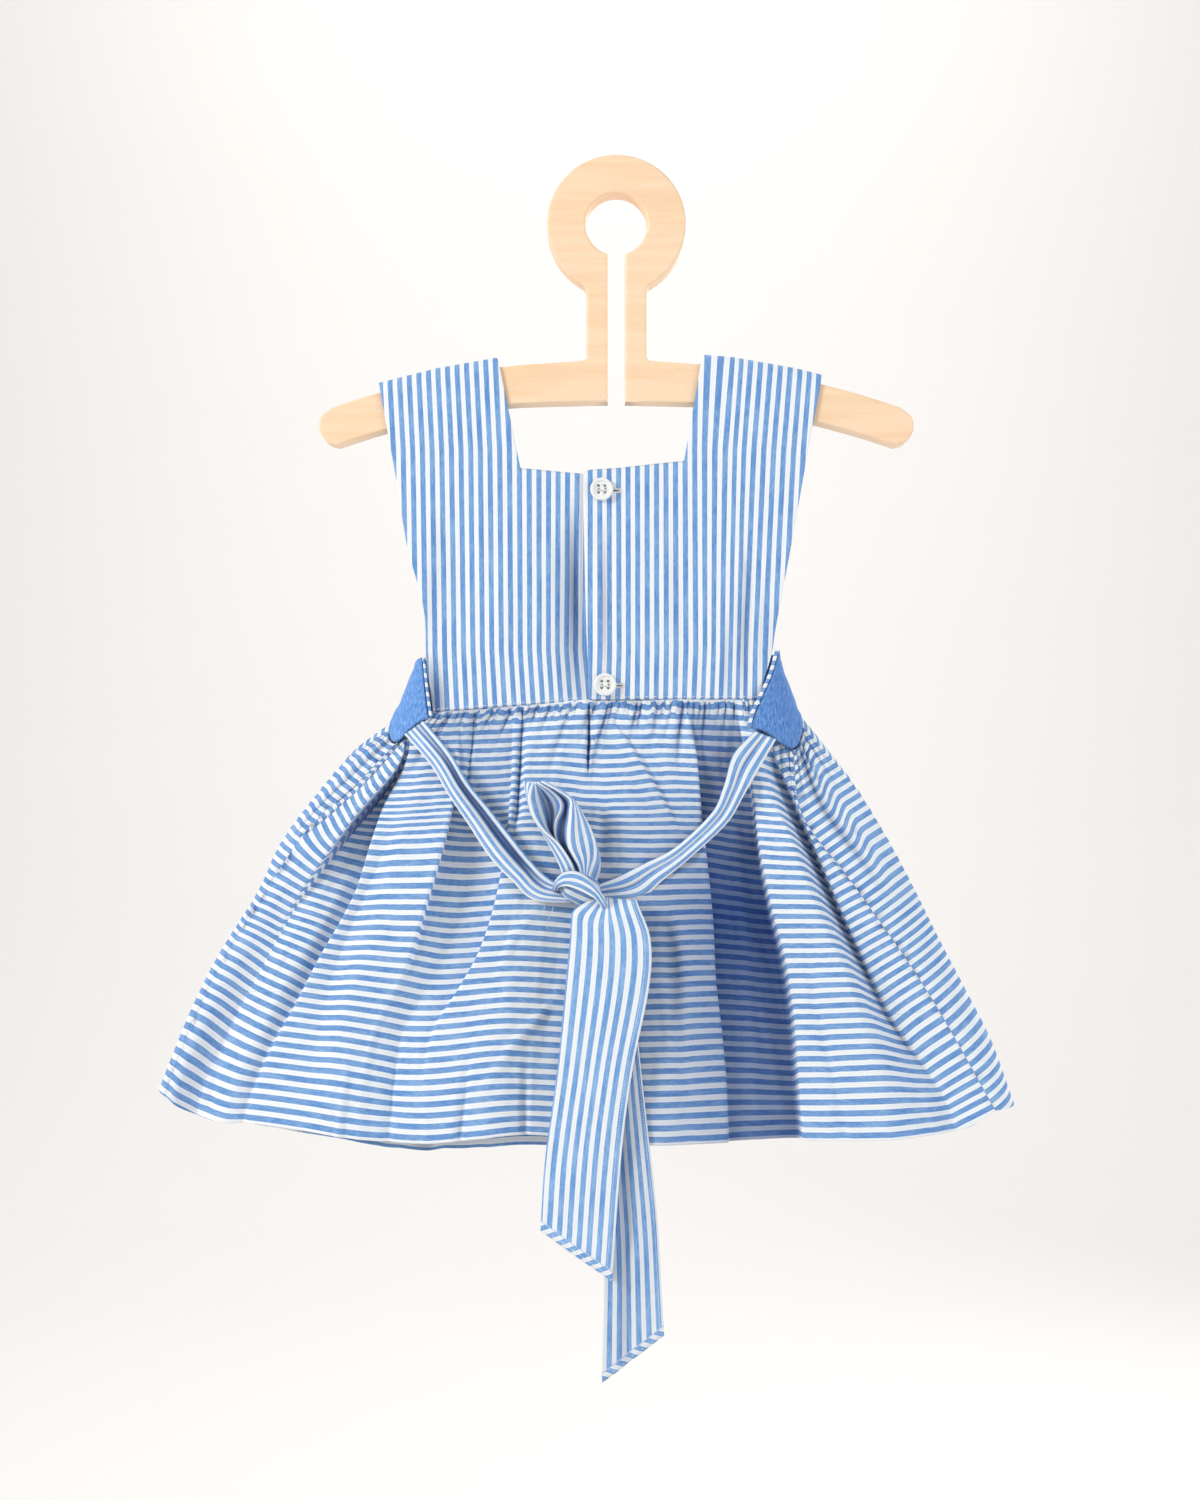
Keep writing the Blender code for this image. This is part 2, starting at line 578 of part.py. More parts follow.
def make_bodice(name, panel, lines, strap_of, columns, inset=0.0):
    """A bodice panel between upright lines; strap_of names the strap above each block, or None."""
    side = 1.0 if panel == "front" else -1.0
    strap_length = 2 * STRAP_STEPS + 1
    body, straps, stations = [], [], []
    for block, steps in enumerate(columns):
        first = 0 if block == 0 else 1
        stations += [(block, step / steps) for step in range(first, steps + 1)]
    for row in range(BODICE_ROWS + 1):
        share = row / BODICE_ROWS
        edges = [float(smooth(line, share)[0]) for line in lines]
        edges[0] += inset
        edges[-1] -= inset
        drop = FRONT_NECK_DROP if panel == "front" else 0.0
        points = []
        for block, part in stations:
            x = blend(edges[block], edges[block + 1], part)
            foot_z, head_z = by_x(WAIST, x), by_x(NECK_LEVEL, x) - drop
            points.append(bodice_point(x, blend(foot_z, head_z, share), panel))
        body.append(points)
    for index, (block, part) in enumerate(stations):
        strap = strap_of[block]
        if strap is None and part == 0.0:
            strap = strap_of[block - 1]
        if strap is None and part == 1.0 and block + 1 < len(strap_of):
            strap = strap_of[block + 1]
            part = 0.0
        if strap is None:
            straps.append([None] * strap_length)
            continue
        x, _, z = body[-1][index]
        ridge_left, ridge_right = STRAP_RIDGE_X[strap]
        if panel == "front":
            ridge_left, ridge_right = ridge_left + inset, ridge_right - inset
        straps.append(strap_rows(x, z, blend(ridge_left, ridge_right, part), side))
    upper = [[strap[level] for strap in straps] for level in range(strap_length - 1, -1, -1)]
    rows = upper + body[::-1]
    if side > 0:
        rows = [row[::-1] for row in rows]
    wall(name, rows, CLOTH, "striped_cotton")


# ---- buttons ----
def make_button(name, x, z):
    """Four-hole button with a raised rim, lying on the right back."""
    face_y = strap_side_to_waist(z, -1.0) - crease(x, z) + lap_shift(x, "back_right") - CLOTH / 2
    back_y = face_y - BUTTON_LIFT
    body = bmesh.new()
    rings = []
    for radius, height in BUTTON_PROFILE:
        ring = []
        for step in range(BUTTON_STEPS):
            angle = 2 * math.pi * step / BUTTON_STEPS
            point = (x + radius * math.cos(angle), back_y - height, z + radius * math.sin(angle))
            ring.append(body.verts.new([c * MM for c in point]))
        rings.append(ring)
    for inner, outer in zip(rings, rings[1:]):
        for step in range(BUTTON_STEPS):
            after = (step + 1) % BUTTON_STEPS
            body.faces.new((inner[step], outer[step], outer[after], inner[after]))
    body.faces.new(rings[0])
    body.faces.new(rings[-1][::-1])
    bmesh.ops.recalc_face_normals(body, faces=body.faces)
    mesh = bpy.data.meshes.new(name)
    body.to_mesh(mesh)
    body.free()
    thing = place(name, mesh, "button_resin")
    drills = bmesh.new()
    for side_x, side_z in ((-1, -1), (-1, 1), (1, -1), (1, 1)):
        made = bmesh.ops.create_cone(drills, cap_ends=True, segments=8, depth=8.0 * MM,
                                     radius1=BUTTON_HOLE * MM, radius2=BUTTON_HOLE * MM)
        bmesh.ops.rotate(drills, verts=made["verts"], matrix=Matrix.Rotation(math.pi / 2, 3, "X"))
        shift = (x + side_x * BUTTON_PITCH, back_y - 1.0, z + side_z * BUTTON_PITCH)
        bmesh.ops.translate(drills, verts=made["verts"], vec=[c * MM for c in shift])
    bmesh.ops.recalc_face_normals(drills, faces=drills.faces)
    drill_mesh = bpy.data.meshes.new(name + "_drill")
    drills.to_mesh(drill_mesh)
    drills.free()
    drill = bpy.data.objects.new(name + "_drill", drill_mesh)
    bpy.context.scene.collection.objects.link(drill)
    drill.hide_render = True
    drill.display_type = "WIRE"
    cut = thing.modifiers.new("thread holes", "BOOLEAN")
    cut.operation = "DIFFERENCE"
    cut.solver = "EXACT"
    cut.object = drill


# ---- wings and their bindings ----
def wing_point(wing, around, down):
    """Point of a wing's wall: around runs from the back edge (0) over the fold to the front (1)."""
    back, fold, front = (smooth(wing[key], down) for key in ("back", "fold", "front"))
    back = back + np.array((wing["side"] * (BINDING_WIDTH + BINDING_ROOM), 0.0, -down))
    angle = math.pi * around
    middle = (back + front) / 2
    x = blend(back[0], front[0], around) + (fold[0] - middle[0]) * math.sin(angle)
    y = middle[1] - (front[1] - back[1]) / 2 * math.cos(angle)
    half = around * 2 if around < 0.5 else (around - 0.5) * 2
    z = blend(back[2], fold[2], half) if around < 0.5 else blend(fold[2], front[2], half)
    off_corner = min(abs(around - WING_CORNER) / WING_CORNER_SPREAD, 1.0)
    z -= wing["corner_drop"] * math.cos(off_corner * math.pi / 2) ** 2 * down ** 3
    return np.array((x, y, z))


def make_wing(name, wing):
    rows = [[tuple(wing_point(wing, column / WING_COLUMNS, row / WING_ROWS))
             for column in range(WING_COLUMNS + 1)] for row in range(WING_ROWS + 1)]
    if wing["side"] < 0:
        rows = [row[::-1] for row in rows]
    wall(name, rows, CLOTH, "blue_chambray")


def make_binding(name, wing):
    """Narrow strip along the wing's free back edge."""
    rows = []
    for step in range(BINDING_STEPS + 1):
        share = step / BINDING_STEPS
        edge = smooth(wing["back"], share)
        ahead = smooth(wing["back"], min(share + NEARBY, 1.0))
        run = ahead - smooth(wing["back"], max(share - NEARBY, 0.0))
        run = run / np.linalg.norm(run)
        out = np.array((-run[2], 0.0, run[0]))
        if out[0] * wing["side"] < 0:
            out = -out
        rows.append([tuple(edge), tuple(edge + out * BINDING_WIDTH)])
    if wing["side"] < 0:
        rows = [row[::-1] for row in rows]
    wall(name, rows, CLOTH, "striped_cotton")


# ---- skirt ----
def wing_foot(wing, around):
    """Point just under a wing's lower edge, where the skirt is sewn to it."""
    return wing_point(wing, around, 1.0) - np.array((0.0, 0.0, WING_SEAM_DROP))


def waist_point(x, side):
    return np.array((x, side * WAIST_DEPTH, by_x(WAIST, x) - SEAM_GAP))


def side_curve(table, top):
    """Smooth curve down the skirt's side from a point under the wing."""
    rows = (Edge(0.0, *top),) + table
    return lambda share: smooth(rows, share)


def back_top(share):
    """Upper edge of the back skirt: left wing's corner, waist seam, right wing's corner."""
    left, right = waist_point(WAIST[0].x, -1.0), waist_point(WAIST[-1].x - WING_LAP, -1.0)
    if share < WAIST_SHARE:
        part = share / WAIST_SHARE
        inward = np.array((0.0, WING_LAP * math.sin(math.pi * part), 0.0))
        return blend(wing_foot(WING_LEFT, WING_CORNER), left, part) + inward
    if share > 1.0 - WAIST_SHARE:
        part = (share - 1.0 + WAIST_SHARE) / WAIST_SHARE
        inward = np.array((0.0, WING_LAP * math.sin(math.pi * part), 0.0))
        return blend(right, wing_foot(WING_RIGHT, WING_CORNER), part) + inward
    return waist_point(blend(left[0], right[0], (share - WAIST_SHARE) / (1.0 - 2 * WAIST_SHARE)), -1.0)


def front_top(share):
    """Upper edge of the front skirt between the two outlines."""
    if share < WAIST_SHARE:
        return wing_foot(WING_LEFT, blend(0.5, 1.0, share / WAIST_SHARE))
    if share > 1.0 - WAIST_SHARE:
        return wing_foot(WING_RIGHT, blend(1.0, 0.5, (share - 1.0 + WAIST_SHARE) / WAIST_SHARE))
    part = (share - WAIST_SHARE) / (1.0 - 2 * WAIST_SHARE)
    return waist_point(blend(WING_LEFT["front"][1].x, WING_RIGHT["front"][1].x, part), 1.0)


def patch(top, bottom, left, right, across, down):
    """Point of the surface stretched between four edge curves."""
    sides = blend(left(down), right(down), across)
    ends = blend(top(across), bottom(across), down)
    corners = blend(blend(top(0.0), bottom(0.0), down), blend(top(1.0), bottom(1.0), down), across)
    return sides + ends - corners


def fold_rise(folds, across, down):
    """Sum of the folds at a place; positive rises away from the body."""
    total = 0.0
    for fold in folds:
        centre = blend(fold.top, fold.hem, ease(down))
        spread = blend(FOLD_NARROW, 1.0, down)
        width = (fold.left if across < centre else fold.right) * spread
        off = abs(across - centre) / width
        if off < 1.0 and down > fold.start:
            growth = ease((down - fold.start) / FOLD_GROWTH)
            fade = 1.0 - ease((down - fold.stop + FOLD_FADE) / FOLD_FADE)
            total += fold.rise * growth * fade * math.cos(off * math.pi / 2) ** 2
    return total


def lift(rise, down):
    """How far a fold's rise lifts the cloth there."""
    return rise * FOLD_LIFT * ease(down / LIFT_FULL)


def gather_rise(across, down, phase):
    """Fine uneven gathers under the waist seam, dying away downwards."""
    turn = 2 * math.pi * across
    drift = 0.32 * math.sin(2.3 * turn + phase) + 0.14 * math.sin(5.1 * turn)
    wave = math.sin(GATHERS * turn + 2 * math.pi * drift)
    length = GATHER_LENGTH * (1.0 + 0.46 * math.sin(3.7 * turn + 2.0 * phase))
    from_side = ease(min(across, 1.0 - across) / BACK_CALM)
    return GATHER_RISE * wave * (1.0 - ease(down / length)) * from_side


def skirt_levels():
    """Shares down the skirt: (share, columns), finer where the cloth is gathered."""
    fine = [(share, FINE_COLUMNS) for share in FINE_LEVELS]
    coarse = [(share, COARSE_COLUMNS) for share in COARSE_LEVELS]
    return fine + coarse


def make_skirt_back(left_seam, right_seam):
    inward = np.array((SIDE_SEAM_SHIFT, 0.0, 0.0))

    def left(share):
        return left_seam(share) + inward

    def right(share):
        return right_seam(share) - inward

    def top(share):
        return back_top(share) + inward * (1.0 - 2.0 * share)

    hem = (Edge(0.0, *left(1.0)),) + HEM_BACK + (Edge(1.0, *right(1.0)),)

    def hem_curve(share):
        return smooth(hem, share)

    rows = []
    for down, columns in skirt_levels():
        row = []
        for column in range(columns + 1):
            across = column / columns
            point = patch(top, hem_curve, left, right, across, down)
            rise = fold_rise(BACK_FOLDS, across, down) + gather_rise(across, down, 0.4)
            rise *= ease(min(across, 1.0 - across) / BACK_CALM)
            row.append(tuple(point + np.array((0.0, -rise, lift(rise, down)))))
        rows.append(row)
    wall("skirt_back", rows, CLOTH, "striped_cotton")


def side_strip(wing, seam, outline, part, down):
    """Point of the front skirt where it wraps from the side outline (0) to the seam behind (1)."""
    def top(share):
        return wing_foot(wing, blend(0.5, WING_CORNER, share))

    def quarter(share):
        angle = math.pi / 2 * share
        start, end = outline(1.0), seam(1.0)
        flat = np.array((end[0] - start[0], 0.0, end[2] - start[2])) * (1.0 - math.cos(angle))
        return start + flat + np.array((0.0, end[1] - start[1], 0.0)) * math.sin(angle)

    return patch(top, quarter, outline, seam, part, down)


def make_skirt_front(left_seam, right_seam, left_outline, right_outline):
    outward = np.array((SIDE_SEAM_SHIFT, 0.0, 0.0))
    hem = (Edge(0.0, *left_outline(1.0)),) + HEM_FRONT + (Edge(1.0, *right_outline(1.0)),)

    def hem_curve(share):
        return smooth(hem, share)

    rows = []
    for down, columns in skirt_levels():
        scale = columns // COARSE_COLUMNS
        left_steps, right_steps = STRIP_STEPS["left"] * scale, STRIP_STEPS["right"] * scale
        main_steps = columns - left_steps - right_steps
        row = []
        for step in range(left_steps, 0, -1):
            part = step / left_steps
            row.append(side_strip(WING_LEFT, left_seam, left_outline, part, down) - outward * part)
        for step in range(main_steps + 1):
            across = step / main_steps
            point = patch(front_top, hem_curve, left_outline, right_outline, across, down)
            from_side = ease(min(across, 1.0 - across) / FRONT_CALM)
            rise = from_side * (fold_rise(FRONT_FOLDS, across, down) + gather_rise(across, down, 1.9))
            belly = from_side * FRONT_BELLY * math.sin(math.pi * down)
            row.append(point + np.array((0.0, rise + belly, lift(rise, down))))
        for step in range(1, right_steps + 1):
            part = step / right_steps
            row.append(side_strip(WING_RIGHT, right_seam, right_outline, part, down) + outward * part)
        rows.append([tuple(point) for point in row[::-1]])
    wall("skirt_front", rows, CLOTH, "striped_cotton")


def make_skirt():
    left_seam = side_curve(SEAM_LEFT, wing_foot(WING_LEFT, WING_CORNER))
    right_seam = side_curve(SEAM_RIGHT, wing_foot(WING_RIGHT, WING_CORNER))
    left_outline = side_curve(OUTLINE_LEFT, wing_foot(WING_LEFT, 0.5))
    right_outline = side_curve(OUTLINE_RIGHT, wing_foot(WING_RIGHT, 0.5))
    make_skirt_back(left_seam, right_seam)
    make_skirt_front(left_seam, right_seam, left_outline, right_outline)


# ---- tied sash ----
def knot_mesh(name, grow):
    """Squashed, tilted ball with the ridges of the wrapped band."""
    ball = bmesh.new()
    rings = []
    for row in range(1, KNOT_ROWS):
        polar = math.pi * row / KNOT_ROWS
        full = math.sin(polar) ** KNOT_FULLNESS
        ridge = 1.0 + KNOT_RIDGE * math.cos(6 * polar)
        ring = []
        for column in range(KNOT_COLUMNS):
            turn = 2 * math.pi * column / KNOT_COLUMNS
            x = (KNOT_HALF[0] * ridge + grow) * math.cos(polar)
            y = -(KNOT_HALF[1] * ridge + grow) * full * math.cos(turn)
            z = (KNOT_HALF[2] * ridge + grow) * full * math.sin(turn)
            turned_x = x * math.cos(KNOT_TILT) + z * math.sin(KNOT_TILT)
            turned_z = -x * math.sin(KNOT_TILT) + z * math.cos(KNOT_TILT)
            point = (turned_x + KNOT_CENTRE[0], y + KNOT_CENTRE[1], turned_z + KNOT_CENTRE[2])
            ring.append(ball.verts.new([c * MM for c in point]))
        rings.append(ring)
    for upper, lower in zip(rings, rings[1:]):
        for column in range(KNOT_COLUMNS):
            after = (column + 1) % KNOT_COLUMNS
            ball.faces.new((upper[column], lower[column], lower[after], upper[after]))
    ball.faces.new(rings[0])
    ball.faces.new(rings[-1])
    bmesh.ops.recalc_face_normals(ball, faces=ball.faces)
    mesh = bpy.data.meshes.new(name)
    ball.to_mesh(mesh)
    ball.free()
    return mesh


def make_knot():
    place("sash_knot", knot_mesh("sash_knot", 0.0), "striped_cotton")
    room = place("knot_room", knot_mesh("knot_room", KNOT_ROOM), "striped_cotton")
    room.hide_render = True
    room.display_type = "WIRE"
    return room


def make_band(name, bands, section, steps, columns, room, turned=False):
    """Length of tie between its two edges, with a folded section across it."""
    rows = []
    for step in range(steps + 1):
        left_x, left_z, right_x, right_z, y, swell = smooth(bands, step / steps)
        row = []
        for column in range(columns + 1):
            part = column / columns
            out = float(straight(section, part)[0]) * swell
            row.append((blend(left_x, right_x, part), y - out, blend(left_z, right_z, part)))
        rows.append(row[::-1] if turned else row)
    wall(name, rows, TIE_CLOTH, "striped_cotton", room)


def make_loop(room):
    """Bow loop standing up from the knot: a band between its near and its far edge."""
    rows = []
    for column in range(LOOP_COLUMNS + 1):
        part = column / LOOP_COLUMNS
        row = []
        for step in range(LOOP_STEPS + 1):
            share = step / LOOP_STEPS
            near, far = smooth(LOOP_NEAR_EDGE, share), smooth(LOOP_FAR_EDGE, share)
            row.append(tuple(blend(near, far, part)))
        rows.append(row)
    wall("sash_loop", rows, TIE_CLOTH, "striped_cotton", room)


def main():
    clear_scene()
    make_hanger()
    make_bodice("bodice_back_left", "back_left", (LEFT_ARMHOLE, LEFT_NECK, LEFT_LAP),
                ("left", None), (7, 6))
    make_bodice("bodice_back_right", "back_right", (RIGHT_LAP, RIGHT_NECK, RIGHT_ARMHOLE),
                (None, "right"), (6, 7))
    make_bodice("bodice_front", "front", (LEFT_ARMHOLE, LEFT_NECK, RIGHT_NECK, RIGHT_ARMHOLE),
                ("left", None, "right"), (6, 7, 6), FRONT_INSET)
    for name, x, z in BUTTON_PLACES:
        make_button(name, x, z)
    for side, wing in (("left", WING_LEFT), ("right", WING_RIGHT)):
        make_wing("wing_" + side, wing)
        make_binding("binding_" + side, wing)
    make_skirt()
    room = make_knot()
    make_band("sash_left", SASH_LEFT, SASH_SECTION, 20, 6, room)
    make_band("sash_right", SASH_RIGHT, FLAT_SECTION, 20, 5, room, turned=True)
    make_band("sash_tail_front", TAIL_FRONT, TAIL_SECTION, 16, 6, room)
    make_band("sash_tail_back", TAIL_BACK, FOLDED_SECTION, 18, 6, room)
    make_loop(room)


main()
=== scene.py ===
import math
import bmesh
import bpy
import numpy as np
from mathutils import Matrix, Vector, kdtree


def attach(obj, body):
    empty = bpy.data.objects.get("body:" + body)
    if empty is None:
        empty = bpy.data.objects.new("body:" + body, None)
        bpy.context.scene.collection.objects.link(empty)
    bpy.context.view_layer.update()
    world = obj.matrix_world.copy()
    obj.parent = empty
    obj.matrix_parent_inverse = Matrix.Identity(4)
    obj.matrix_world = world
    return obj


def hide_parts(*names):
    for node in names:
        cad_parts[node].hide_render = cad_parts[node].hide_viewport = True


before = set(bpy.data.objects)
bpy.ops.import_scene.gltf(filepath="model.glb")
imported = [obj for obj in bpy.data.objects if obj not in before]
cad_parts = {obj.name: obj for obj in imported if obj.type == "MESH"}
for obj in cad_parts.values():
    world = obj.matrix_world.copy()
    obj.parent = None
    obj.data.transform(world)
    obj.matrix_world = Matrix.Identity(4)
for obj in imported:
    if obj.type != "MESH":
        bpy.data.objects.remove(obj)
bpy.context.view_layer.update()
mm = 0.001
uvUnit = 100.0  # millimetres of flat cloth to one unit of a UV map

studio = {
    "cameraAt": (-0.00917, -1.168, -0.31025), "lens": 50, "sensor": 36, "floorHeight": -1.25,
    "floorReach": 12,
    "sweepAt": 5,  # where the floor has swept up behind the dress
    "sweepRadius": 2.6, "sweepSteps": 13, "floorColour": (243, 240, 237), "cloudDip": 2, "cloudScale": 0.8,
    "paint": {"rough": 0.9, "specular": 0.5}, "worldColour": (0.955, 0.985, 1.02), "worldStrength": 0.45,
    # name, place, aim, size, watts, colour
    "lights": (
        ("windowLight", (-1.9, -1.2, 0.65), (0, 0, -0.32), 0.7, 42, (1, 0.99, 0.97)),
        ("frontFill", (2.3, -1.2, 0.2), (0, 0, -0.32), 1.8, 32, (0.9, 0.95, 1)),
        ("backLight", (1.2, 1.7, 0.5), (0, 0, -0.32), 1.4, 14, (1, 0.99, 0.98)),
        ("wallLight", (0, 1.9, 3.2), (0, 5, -0.3), 2, 92, (1, 0.985, 0.965))),
}
# front view points: their size in mm at a depth, how far the eye is from there, and the view's middle
viewShape = {"point": 0.556, "at": -10, "reach": 1158, "centre": (600, 750), "middle": (-9.17, -310.25)}


def ease(share):
    share = np.clip(share, 0.0, 1.0)
    return share * share * (3.0 - 2.0 * share)


def mix(first, second, share):
    return first + (second - first) * share


def tone(red, green, blue):
    channels = [c / 255.0 for c in (red, green, blue)]
    return (*(c / 12.92 if c <= 0.04045 else ((c + 0.055) / 1.055) ** 2.4 for c in channels), 1.0)


def link(thing):
    bpy.context.scene.collection.objects.link(thing)
    return thing


def setStudio():
    kind, scene = studio, bpy.context.scene
    scene.view_settings.view_transform = "Standard"
    lens = bpy.data.cameras.new("camera")
    lens.lens, lens.sensor_width = kind["lens"], kind["sensor"]
    camera = link(bpy.data.objects.new("camera", lens))
    camera.location = kind["cameraAt"]
    camera.rotation_euler = (math.radians(90.0), 0.0, 0.0)
    scene.camera = camera
    world = bpy.data.worlds.new("paleRoom")
    world.use_nodes = True
    back = world.node_tree.nodes["Background"]
    back.inputs["Color"].default_value = (*kind["worldColour"], 1.0)
    back.inputs["Strength"].default_value = kind["worldStrength"]
    scene.world = world
    for name, place, aim, size, watts, colour in kind["lights"]:
        lamp = bpy.data.lights.new(name, "AREA")
        lamp.shape, lamp.size, lamp.energy, lamp.color = "DISK", size, watts, colour
        holder = link(bpy.data.objects.new(name, lamp))
        holder.location = place
        holder.rotation_euler = (Vector(aim) - Vector(place)).to_track_quat("-Z", "Y").to_euler()
    makeFloor()
    print("studio set")


def makeFloor():
    # pale floor that sweeps up far behind the dress
    kind = studio
    reach, height = kind["floorReach"], kind["floorHeight"]
    wall, radius = kind["sweepAt"], kind["sweepRadius"]
    turn = np.linspace(0.0, math.pi / 2, kind["sweepSteps"])
    bend = [(wall - radius + radius * math.sin(t), height + radius - radius * math.cos(t)) for t in turn]
    side = [(-reach, height), *bend, (wall, reach)]
    corners = [(x, y, z) for x in (-reach, reach) for y, z in side]
    count = len(side)
    mesh = bpy.data.meshes.new("floor")
    mesh.from_pydata(corners, [], [(k, k + count, k + count + 1, k + 1) for k in range(count - 1)])
    mesh.shade_smooth()
    floor = link(bpy.data.objects.new("floor", mesh))
    paint, tree, shader = material("palePaint", kind["paint"])
    cloud = noise(tree, tree.nodes.new("ShaderNodeTexCoord").outputs["Object"], kind["cloudScale"])
    dim = [c - kind["cloudDip"] for c in kind["floorColour"]]
    colour = blendColour(tree, cloud, tone(*dim), tone(*kind["floorColour"]))
    tree.links.new(colour, shader.inputs["Base Color"])
    mesh.materials.append(paint)


def through(rows, at):
    # smooth curve through rows of (share, values...)
    rows = np.array(rows, float)
    at = np.asarray(at, float)
    share, value = rows[:, 0], rows[:, 1:]
    last = len(share) - 1
    index = np.clip(np.searchsorted(share, at, side="right") - 1, 0, last - 1)
    before, after = np.maximum(index - 1, 0), np.minimum(index + 2, last)
    span = share[index + 1] - share[index]
    part = np.clip((at - share[index]) / span, 0.0, 1.0)[..., None]
    low, high = value[index], value[index + 1]
    slopeIn = (high - value[before]) * (span / (share[index + 1] - share[before]))[..., None]
    slopeOut = (value[after] - low) * (span / (share[after] - share[index]))[..., None]
    square, cube = part ** 2, part ** 3
    return (low * (2 * cube - 3 * square + 1) + slopeIn * (cube - 2 * square + part)
            + high * (3 * square - 2 * cube) + slopeOut * (cube - square))


def heightAt(rows, x):
    # height of a line of (x, z) rows
    rows = np.array(rows, float)
    return np.interp(x, rows[:, 0], rows[:, 1])


def patch(top, bottom, left, right, across, down):
    # surface between four edge curves; top and bottom are points at across, left and right at down
    a, d = across[None, :, None], down[:, None, None]
    sides = mix(left[:, None], right[:, None], a)
    ends = mix(top[None], bottom[None], d)
    corners = mix(mix(top[0], bottom[0], d), mix(top[-1], bottom[-1], d), a)
    return sides + ends - corners


def wallNormals(grid):
    # unit normals of a grid whose rows run down and whose columns run to the right
    down = np.gradient(grid, axis=0)
    along = np.gradient(grid, axis=1)
    normal = np.cross(down, along)
    return normal / np.maximum(np.linalg.norm(normal, axis=-1, keepdims=True), 1e-9)


def ripple(u, v, seed, size, count=14):
    # soft uneven ripple of height about 1 over flat cloth, size in millimetres
    dice = np.random.RandomState(seed)
    total = np.zeros_like(u)
    for _ in range(count):
        angle = dice.uniform(0.0, math.pi)
        wave = 2 * math.pi / (size * dice.uniform(0.6, 1.7))
        total += np.sin((u * math.cos(angle) + v * math.sin(angle)) * wave + dice.uniform(0, 6.3))
    return total / math.sqrt(count)


def stations(length, step, edges=(0.0, 0.35, 0.9)):
    # shares along a length, even but closer at both ends
    inner = np.linspace(edges[-1] + step, length - edges[-1] - step, max(int(length / step) - 1, 2))
    marks = np.concatenate([edges, inner, [length - e for e in edges[::-1]]])
    return marks / length


def shell(name, grid, flat, half, material, keep=None, rim=0.9, weight=None, shade=None, innerShade=None):
    # closed cloth wall on both sides of a grid, its border rounded; flat is the cut cloth in mm
    rows, columns = grid.shape[:2]
    if keep is None:
        keep = np.ones((rows - 1, columns - 1), bool)
    around = np.zeros((rows, columns), int)
    for dr in (0, 1):
        for dc in (0, 1):
            around[dr:rows - 1 + dr, dc:columns - 1 + dc] += keep
    used, inside = around > 0, around == 4
    border = used & ~inside
    tree = kdtree.KDTree(int(border.sum()))
    for index, point in enumerate(grid[border]):
        tree.insert(Vector(point), index)
    tree.balance()
    thick = np.zeros((rows, columns))
    thick[inside] = [tree.find(Vector(point))[2] for point in grid[inside]]
    thick = half * np.sqrt(1.0 - (1.0 - np.clip(thick / rim, 0.0, 1.0)) ** 2)
    if weight is not None:
        thick = thick * weight
    normal = wallNormals(grid)
    outer, inner = grid + normal * thick[..., None], grid - normal * thick[..., None]
    number = np.full((rows, columns), -1)
    number[used] = np.arange(used.sum())
    back = number.copy()
    back[inside] = used.sum() + np.arange(inside.sum())
    places = np.concatenate([outer[used], inner[inside]]) * mm
    cuts = np.concatenate([flat[used], flat[inside]]) / uvUnit
    a, b, c, d = (part[keep] for part in (number[:-1, :-1], number[1:, :-1], number[1:, 1:], number[:-1, 1:]))
    e, f, g, h = (part[keep] for part in (back[:-1, :-1], back[1:, :-1], back[1:, 1:], back[:-1, 1:]))
    front, behind = np.stack([a, b, c, d], 1), np.stack([h, g, f, e], 1)
    faces = np.concatenate([front, behind])
    mesh = bpy.data.meshes.new(name)
    mesh.vertices.add(len(places))
    mesh.vertices.foreach_set("co", places.ravel())
    mesh.loops.add(faces.size)
    mesh.loops.foreach_set("vertex_index", faces.ravel())
    mesh.polygons.add(len(faces))
    mesh.polygons.foreach_set("loop_start", np.arange(0, faces.size, 4))
    mesh.polygons.foreach_set("loop_total", np.full(len(faces), 4))
    mesh.update(calc_edges=True)
    mesh.validate()
    layer = mesh.uv_layers.new(name="cut")
    layer.data.foreach_set("uv", cuts[faces.ravel()].ravel())
    if shade is not None:
        # painted shade: how dark each point is drawn in folds and hollows, kept for the finish
        depth = mesh.attributes.new("foldShade", "FLOAT", "POINT")
        values = np.concatenate([shade[used], (shade if innerShade is None else innerShade)[inside]])
        depth.data.foreach_set("value", values.astype(np.float32))
    mesh.shade_smooth()
    mesh.materials.append(material)
    piece = link(bpy.data.objects.new(name, mesh))
    sizes = cutSize(flat, keep)
    piece["cutWidth"], piece["cutLength"], piece["cutArea"] = sizes
    return piece


def cutSize(flat, keep):
    # width, length and area of the flat cloth in metres
    one, two = flat[1:, 1:] - flat[:-1, :-1], flat[1:, :-1] - flat[:-1, 1:]
    area = np.abs(one[..., 0] * two[..., 1] - one[..., 1] * two[..., 0]) / 2
    spread = [np.ptp(flat[..., k][:-1, :-1][keep]) + 1.0 for k in (0, 1)]
    return float(spread[0] * mm), float(spread[1] * mm), float(area[keep].sum() * mm * mm)


def carry(piece, node):
    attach(piece, "root")
    if node is not None:
        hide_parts(node)


def dropSizes(piece):
    for key in ("cutWidth", "cutLength", "cutArea"):
        del piece[key]


def declare(piece, node):
    carry(piece, node)
    dropSizes(piece)


def groupTree(name, inputs, outputs):
    tree = bpy.data.node_groups.new(name, "ShaderNodeTree")
    for label, kind, value in inputs:
        socket = tree.interface.new_socket(label, in_out="INPUT", socket_type=kind)
        if value is not None:
            socket.default_value = value
    for label, kind in outputs:
        tree.interface.new_socket(label, in_out="OUTPUT", socket_type=kind)
    return tree, tree.nodes.new("NodeGroupInput").outputs, tree.nodes.new("NodeGroupOutput").inputs


